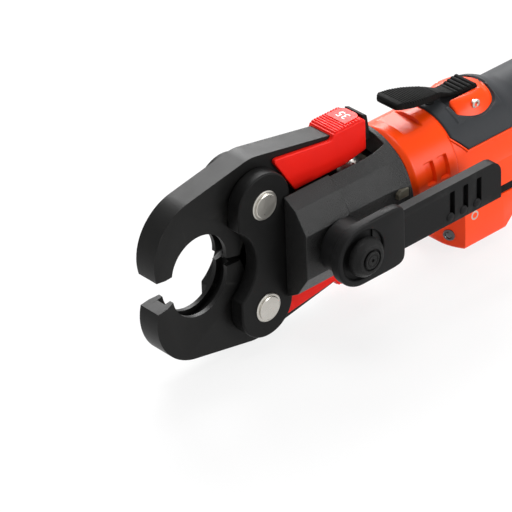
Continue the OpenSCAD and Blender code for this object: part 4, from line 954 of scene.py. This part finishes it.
# Push buttons and status light
BUTTON_R = 5.0
for name, node in (("release", "release_button"), ("power", "power_button")):
    low, high = reach(node)
    x, r, top = (low[0] + high[0]) / 2, BUTTON_R, high[2]
    cap = [(low[2], r), (top - 1.2, r), (top - 0.5, r - 0.2), (top - 0.1, r - 0.8), (top, r - 1.4),
           (top - 0.1, r - 2.0), (top - 0.45, 2.5), (top - 0.55, 0)]
    piece(f"{name}_cap", [lathe(cap, (x, 0, 0), "z", on_body)], RUBBER, name, [node])
low, high = reach("status_lens")
x, r, top = (low[0] + high[0]) / 2, (high[0] - low[0]) / 2, high[2]
dome = [(low[2], r), (top - 0.3, r), (top, r - 0.4), (top + 0.25, r - 1.4), (top + 0.35, 0)]
piece("status_light", [lathe(dome, (x, 0, 0), "z", on_body)], LENS, "tool_body",
      ["status_lens"])

# Rear dock and battery
dock_low, dock_high = reach("rear_dock")
case_low, case_high = reach("battery_case")
cover_low, cover_high = reach("battery_cover")
CASE_R = 6.0
DOCK_BACK = case_low[0] - 0.3


def box_sections(low, high, insets, radius):
    """Rounded rectangles of one box, each drawn in by its own inset."""
    return [rounded_box(high[1] - i, low[2] + i, high[2] - i, max(radius - i, 1.5)) for i in insets]


dock_front = dock_low[0]
dock_x = [dock_front, dock_front + 1, dock_front + 3, dock_front + 9, dock_front + 9.5, dock_front + 10.5,
          dock_front + 11, DOCK_BACK - 0.6, DOCK_BACK]
dock_in = [3.4, 1.4, 0, 0, 0.7, 0.7, 0, 0, 0.5]
dock = along(box_sections(dock_low, dock_high, dock_in, CASE_R), dock_x, on_body)
piece("dock", [dock], BLACK, "tool_body", ["rear_dock"], sharp_deg=40)

RIBS_FROM, RIB_STEP, RIB_N, RIB_DEPTH = 394.0, 4.0, 4, 0.8
rib_x = np.concatenate([[RIBS_FROM + i * RIB_STEP + d for d in (0, 0.4, 1.6, 2.0)] for i in range(RIB_N)])
rib_in = np.tile([0, RIB_DEPTH, RIB_DEPTH, 0], RIB_N)
case_x = np.concatenate([[case_low[0], case_low[0] + 1.2], rib_x, [case_high[0] - 0.4, case_high[0]]])
case_in = np.concatenate([[1.0, 0.0], rib_in, [0.0, 0.4]])
case = along(box_sections(case_low, case_high, case_in, CASE_R), case_x, on_body)
piece("battery_shell", [case], BLACK, "battery", ["battery_case"], sharp_deg=40)
back = cover_high[0]
cover_x = [cover_low[0], cover_low[0] + 0.4, back - 4, back - 2.2, back - 0.9, back - 0.25, back]
cover_in = [0.4, 0, 0, 0.5, 1.6, 3.0, 4.6]
cover = along(box_sections(cover_low, cover_high, cover_in, CASE_R), cover_x, on_body)
piece("battery_back", [cover], SOFT, "battery", ["battery_cover"], sharp_deg=40)

# Charge gauge on the battery's back
GAUGE_Y, GAUGE_Z, GAUGE_BUTTON_Z = (-9, -3, 3, 9), 30.0, 18.0
light = [(back - 1, 2.0), (back + 0.2, 2.0), (back + 0.5, 1.5), (back + 0.55, 0)]
gauge = [lathe(light, (0, y, GAUGE_Z), "x", on_body, 32) for y in GAUGE_Y]
piece("charge_gauge", gauge, LENS, "battery")
push = [(back - 1, 4.2), (back + 0.3, 4.2), (back + 0.8, 3.6), (back + 0.6, 2.2), (back + 0.55, 0)]
piece("gauge_button", [lathe(push, (0, 0, GAUGE_BUTTON_Z), "x", on_body, 48)], RUBBER, "battery")

# Battery latches
LATCH_RIBS, LATCH_RIB = 6, 0.7
for flank, side in FLANKS:
    low, high = reach(f"battery_latch_{flank}")
    inner, outer_y = sorted((abs(low[1]), abs(high[1])))
    z = np.linspace(low[2], high[2], 49)
    wave = np.abs(np.sin((z - low[2]) / (high[2] - low[2]) * np.pi * LATCH_RIBS))
    ridge = outer_y - LATCH_RIB * (1 - wave)
    profile = np.concatenate([np.stack([ridge, z], -1), [(inner, high[2]), (inner, low[2])]]) * [side, 1]
    latch = along([profile, profile], [low[0], high[0]], on_body)
    piece(f"latch_{flank}", [latch], RED, f"{flank}_latch", [f"battery_latch_{flank}"],
          bevel=0.3, segments=2)

# Finishes of the nodes that keep their own shape
PLAIN = (
    (STEEL, ("ram", "press_roller_upper", "press_roller_lower", "motor_shaft")),
    (DARK_STEEL, ("mounting_pin", "jaw_springs", "roller_axles", "return_spring", "motor", "dock_screws")),
    (ALLOY, ("press_cylinder", "pump_block", "gearbox")),
    (BRONZE, ("thrust_washer", "cylinder_gland", "dock_contacts")),
    (RUBBER, ("piston_seal", "trigger_switch")),
    (BOARD, ("circuit_board",)),
    (CELL, ("battery_cells",)),
)
for material, nodes in PLAIN:
    for slot in [slot for node in nodes for slot in frame["nodes"][node].material_slots]:
        slot.link = "OBJECT"
        slot.material = material

# Floor, world, lamps and camera
FLOOR_SIZE, FLOOR_GAP, FLOOR_WHITE_SHARE = 6.0, 0.0005, 0.82
floor_mesh = bpy.data.meshes.new("floor")
half = FLOOR_SIZE / 2
floor_z = cad_box[0].z - FLOOR_GAP
floor_corners = [(x * half, y * half, floor_z) for x, y in ((-1, -1), (1, -1), (1, 1), (-1, 1))]
floor_mesh.from_pydata(floor_corners, [], [(0, 1, 2, 3)])
floor = bpy.data.objects.new("floor", floor_mesh)
bpy.context.scene.collection.objects.link(floor)


def seen_share(tree, path):
    """1 for rays from the camera, from gloss or through glass, and 0 for light that falls on the object."""
    first = add(tree, "Math", operation="ADD", use_clamp=True)
    both = add(tree, "Math", operation="ADD", use_clamp=True)
    tree.links.new(path.outputs["Is Camera Ray"], first.inputs[0])
    tree.links.new(path.outputs["Is Glossy Ray"], first.inputs[1])
    tree.links.new(first.outputs["Value"], both.inputs[0])
    tree.links.new(path.outputs["Is Transmission Ray"], both.inputs[1])
    return both.outputs["Value"]


def floor_finish():
    """A pale floor that shows white to the camera and to reflections, and keeps a part of its shadow."""
    material = bpy.data.materials.new("pale_floor")
    material.use_nodes = True
    tree = material.node_tree
    shader = tree.nodes["Principled BSDF"]
    shader.inputs["Base Color"].default_value = (0.88, 0.88, 0.88, 1)
    shader.inputs["Roughness"].default_value = 0.9
    glow = add(tree, "Emission", Strength=1.0)
    glow.inputs["Color"].default_value = (1, 1, 1, 1)
    path = add(tree, "LightPath")
    share = add(tree, "Math", operation="MULTIPLY")
    share.inputs[1].default_value = FLOOR_WHITE_SHARE
    tree.links.new(seen_share(tree, path), share.inputs[0])
    mix = add(tree, "MixShader")
    tree.links.new(share.outputs["Value"], mix.inputs["Fac"])
    tree.links.new(shader.outputs["BSDF"], mix.inputs[1])
    tree.links.new(glow.outputs["Emission"], mix.inputs[2])
    tree.links.new(mix.outputs["Shader"], tree.nodes["Material Output"].inputs["Surface"])
    return material


floor_mesh.materials.append(floor_finish())


def white_world(strength):
    """An even world: white to the camera and in reflections, and a plain grey light otherwise."""
    world = bpy.data.worlds.new("studio")
    bpy.context.scene.world = world
    world.use_nodes = True
    tree = world.node_tree
    light = tree.nodes["Background"]
    light.inputs["Color"].default_value = (1, 1, 1, 1)
    path = add(tree, "LightPath")
    level = add(tree, "MapRange", **{"To Min": strength, "To Max": 1.0})
    tree.links.new(seen_share(tree, path), level.inputs["Value"])
    tree.links.new(level.outputs["Result"], light.inputs["Strength"])


WORLD_LIGHT = 0.1
white_world(WORLD_LIGHT)


def soft_lamp(name, place, target, size, power):
    """A square area lamp at a place, facing a target, in metres and watts."""
    data = bpy.data.lights.new(name, "AREA")
    data.shape, data.size, data.energy = "SQUARE", size, power
    lamp_object = bpy.data.objects.new(name, data)
    bpy.context.scene.collection.objects.link(lamp_object)
    turn = (Vector(target) - Vector(place)).to_track_quat("-Z", "Y")
    lamp_object.matrix_world = Matrix.Translation(place) @ turn.to_matrix().to_4x4()


soft_lamp("back", (0.75, 0.95, 0.85), (0.1, 0, 0), 0.9, 30)
soft_lamp("overhead", (0.1, 0.1, 1.3), (0.1, 0, 0), 0.7, 9)
soft_lamp("front_left", (-1.3, -0.6, 0.7), (0.1, 0, 0), 0.8, 3)
soft_lamp("side", (0.7, -1.2, 0.5), (0.15, 0, 0), 0.7, 15)

# Camera at the photograph's place, given in the head's frame
AZIMUTH, ELEVATION, ROLL = math.radians(-41.316), math.radians(32.4), math.radians(-2.274)
DISTANCE, SENSOR, LENS_MM = 1800.0, 36.0, 245.9
AIM_RIGHT, AIM_UP = 29.68, 6.68


def photo_camera():
    """A camera whose right, up and back axes come from azimuth, elevation and roll, turned with the head."""
    level_share = math.cos(ELEVATION)
    back = np.array([level_share * math.sin(AZIMUTH), -level_share * math.cos(AZIMUTH), math.sin(ELEVATION)])
    level = np.array([math.cos(AZIMUTH), math.sin(AZIMUTH), 0])
    up = np.cross(back, level)
    right = math.cos(ROLL) * level + math.sin(ROLL) * up
    up = np.cross(back, right)
    place = AIM_RIGHT * right + AIM_UP * up + DISTANCE * back
    axes = rolled(np.stack([right, up, back]), HEAD_ROLL)
    data = bpy.data.cameras.new("photo_camera")
    data.sensor_width, data.lens = SENSOR, LENS_MM
    data.clip_end = 20
    camera = bpy.data.objects.new("photo_camera", data)
    bpy.context.scene.collection.objects.link(camera)
    matrix = Matrix(axes.T.tolist()).to_4x4()
    matrix.translation = Vector(on_head(place))
    camera.matrix_world = matrix
    bpy.context.scene.camera = camera


photo_camera()
bpy.context.scene.view_settings.view_transform = "Standard"
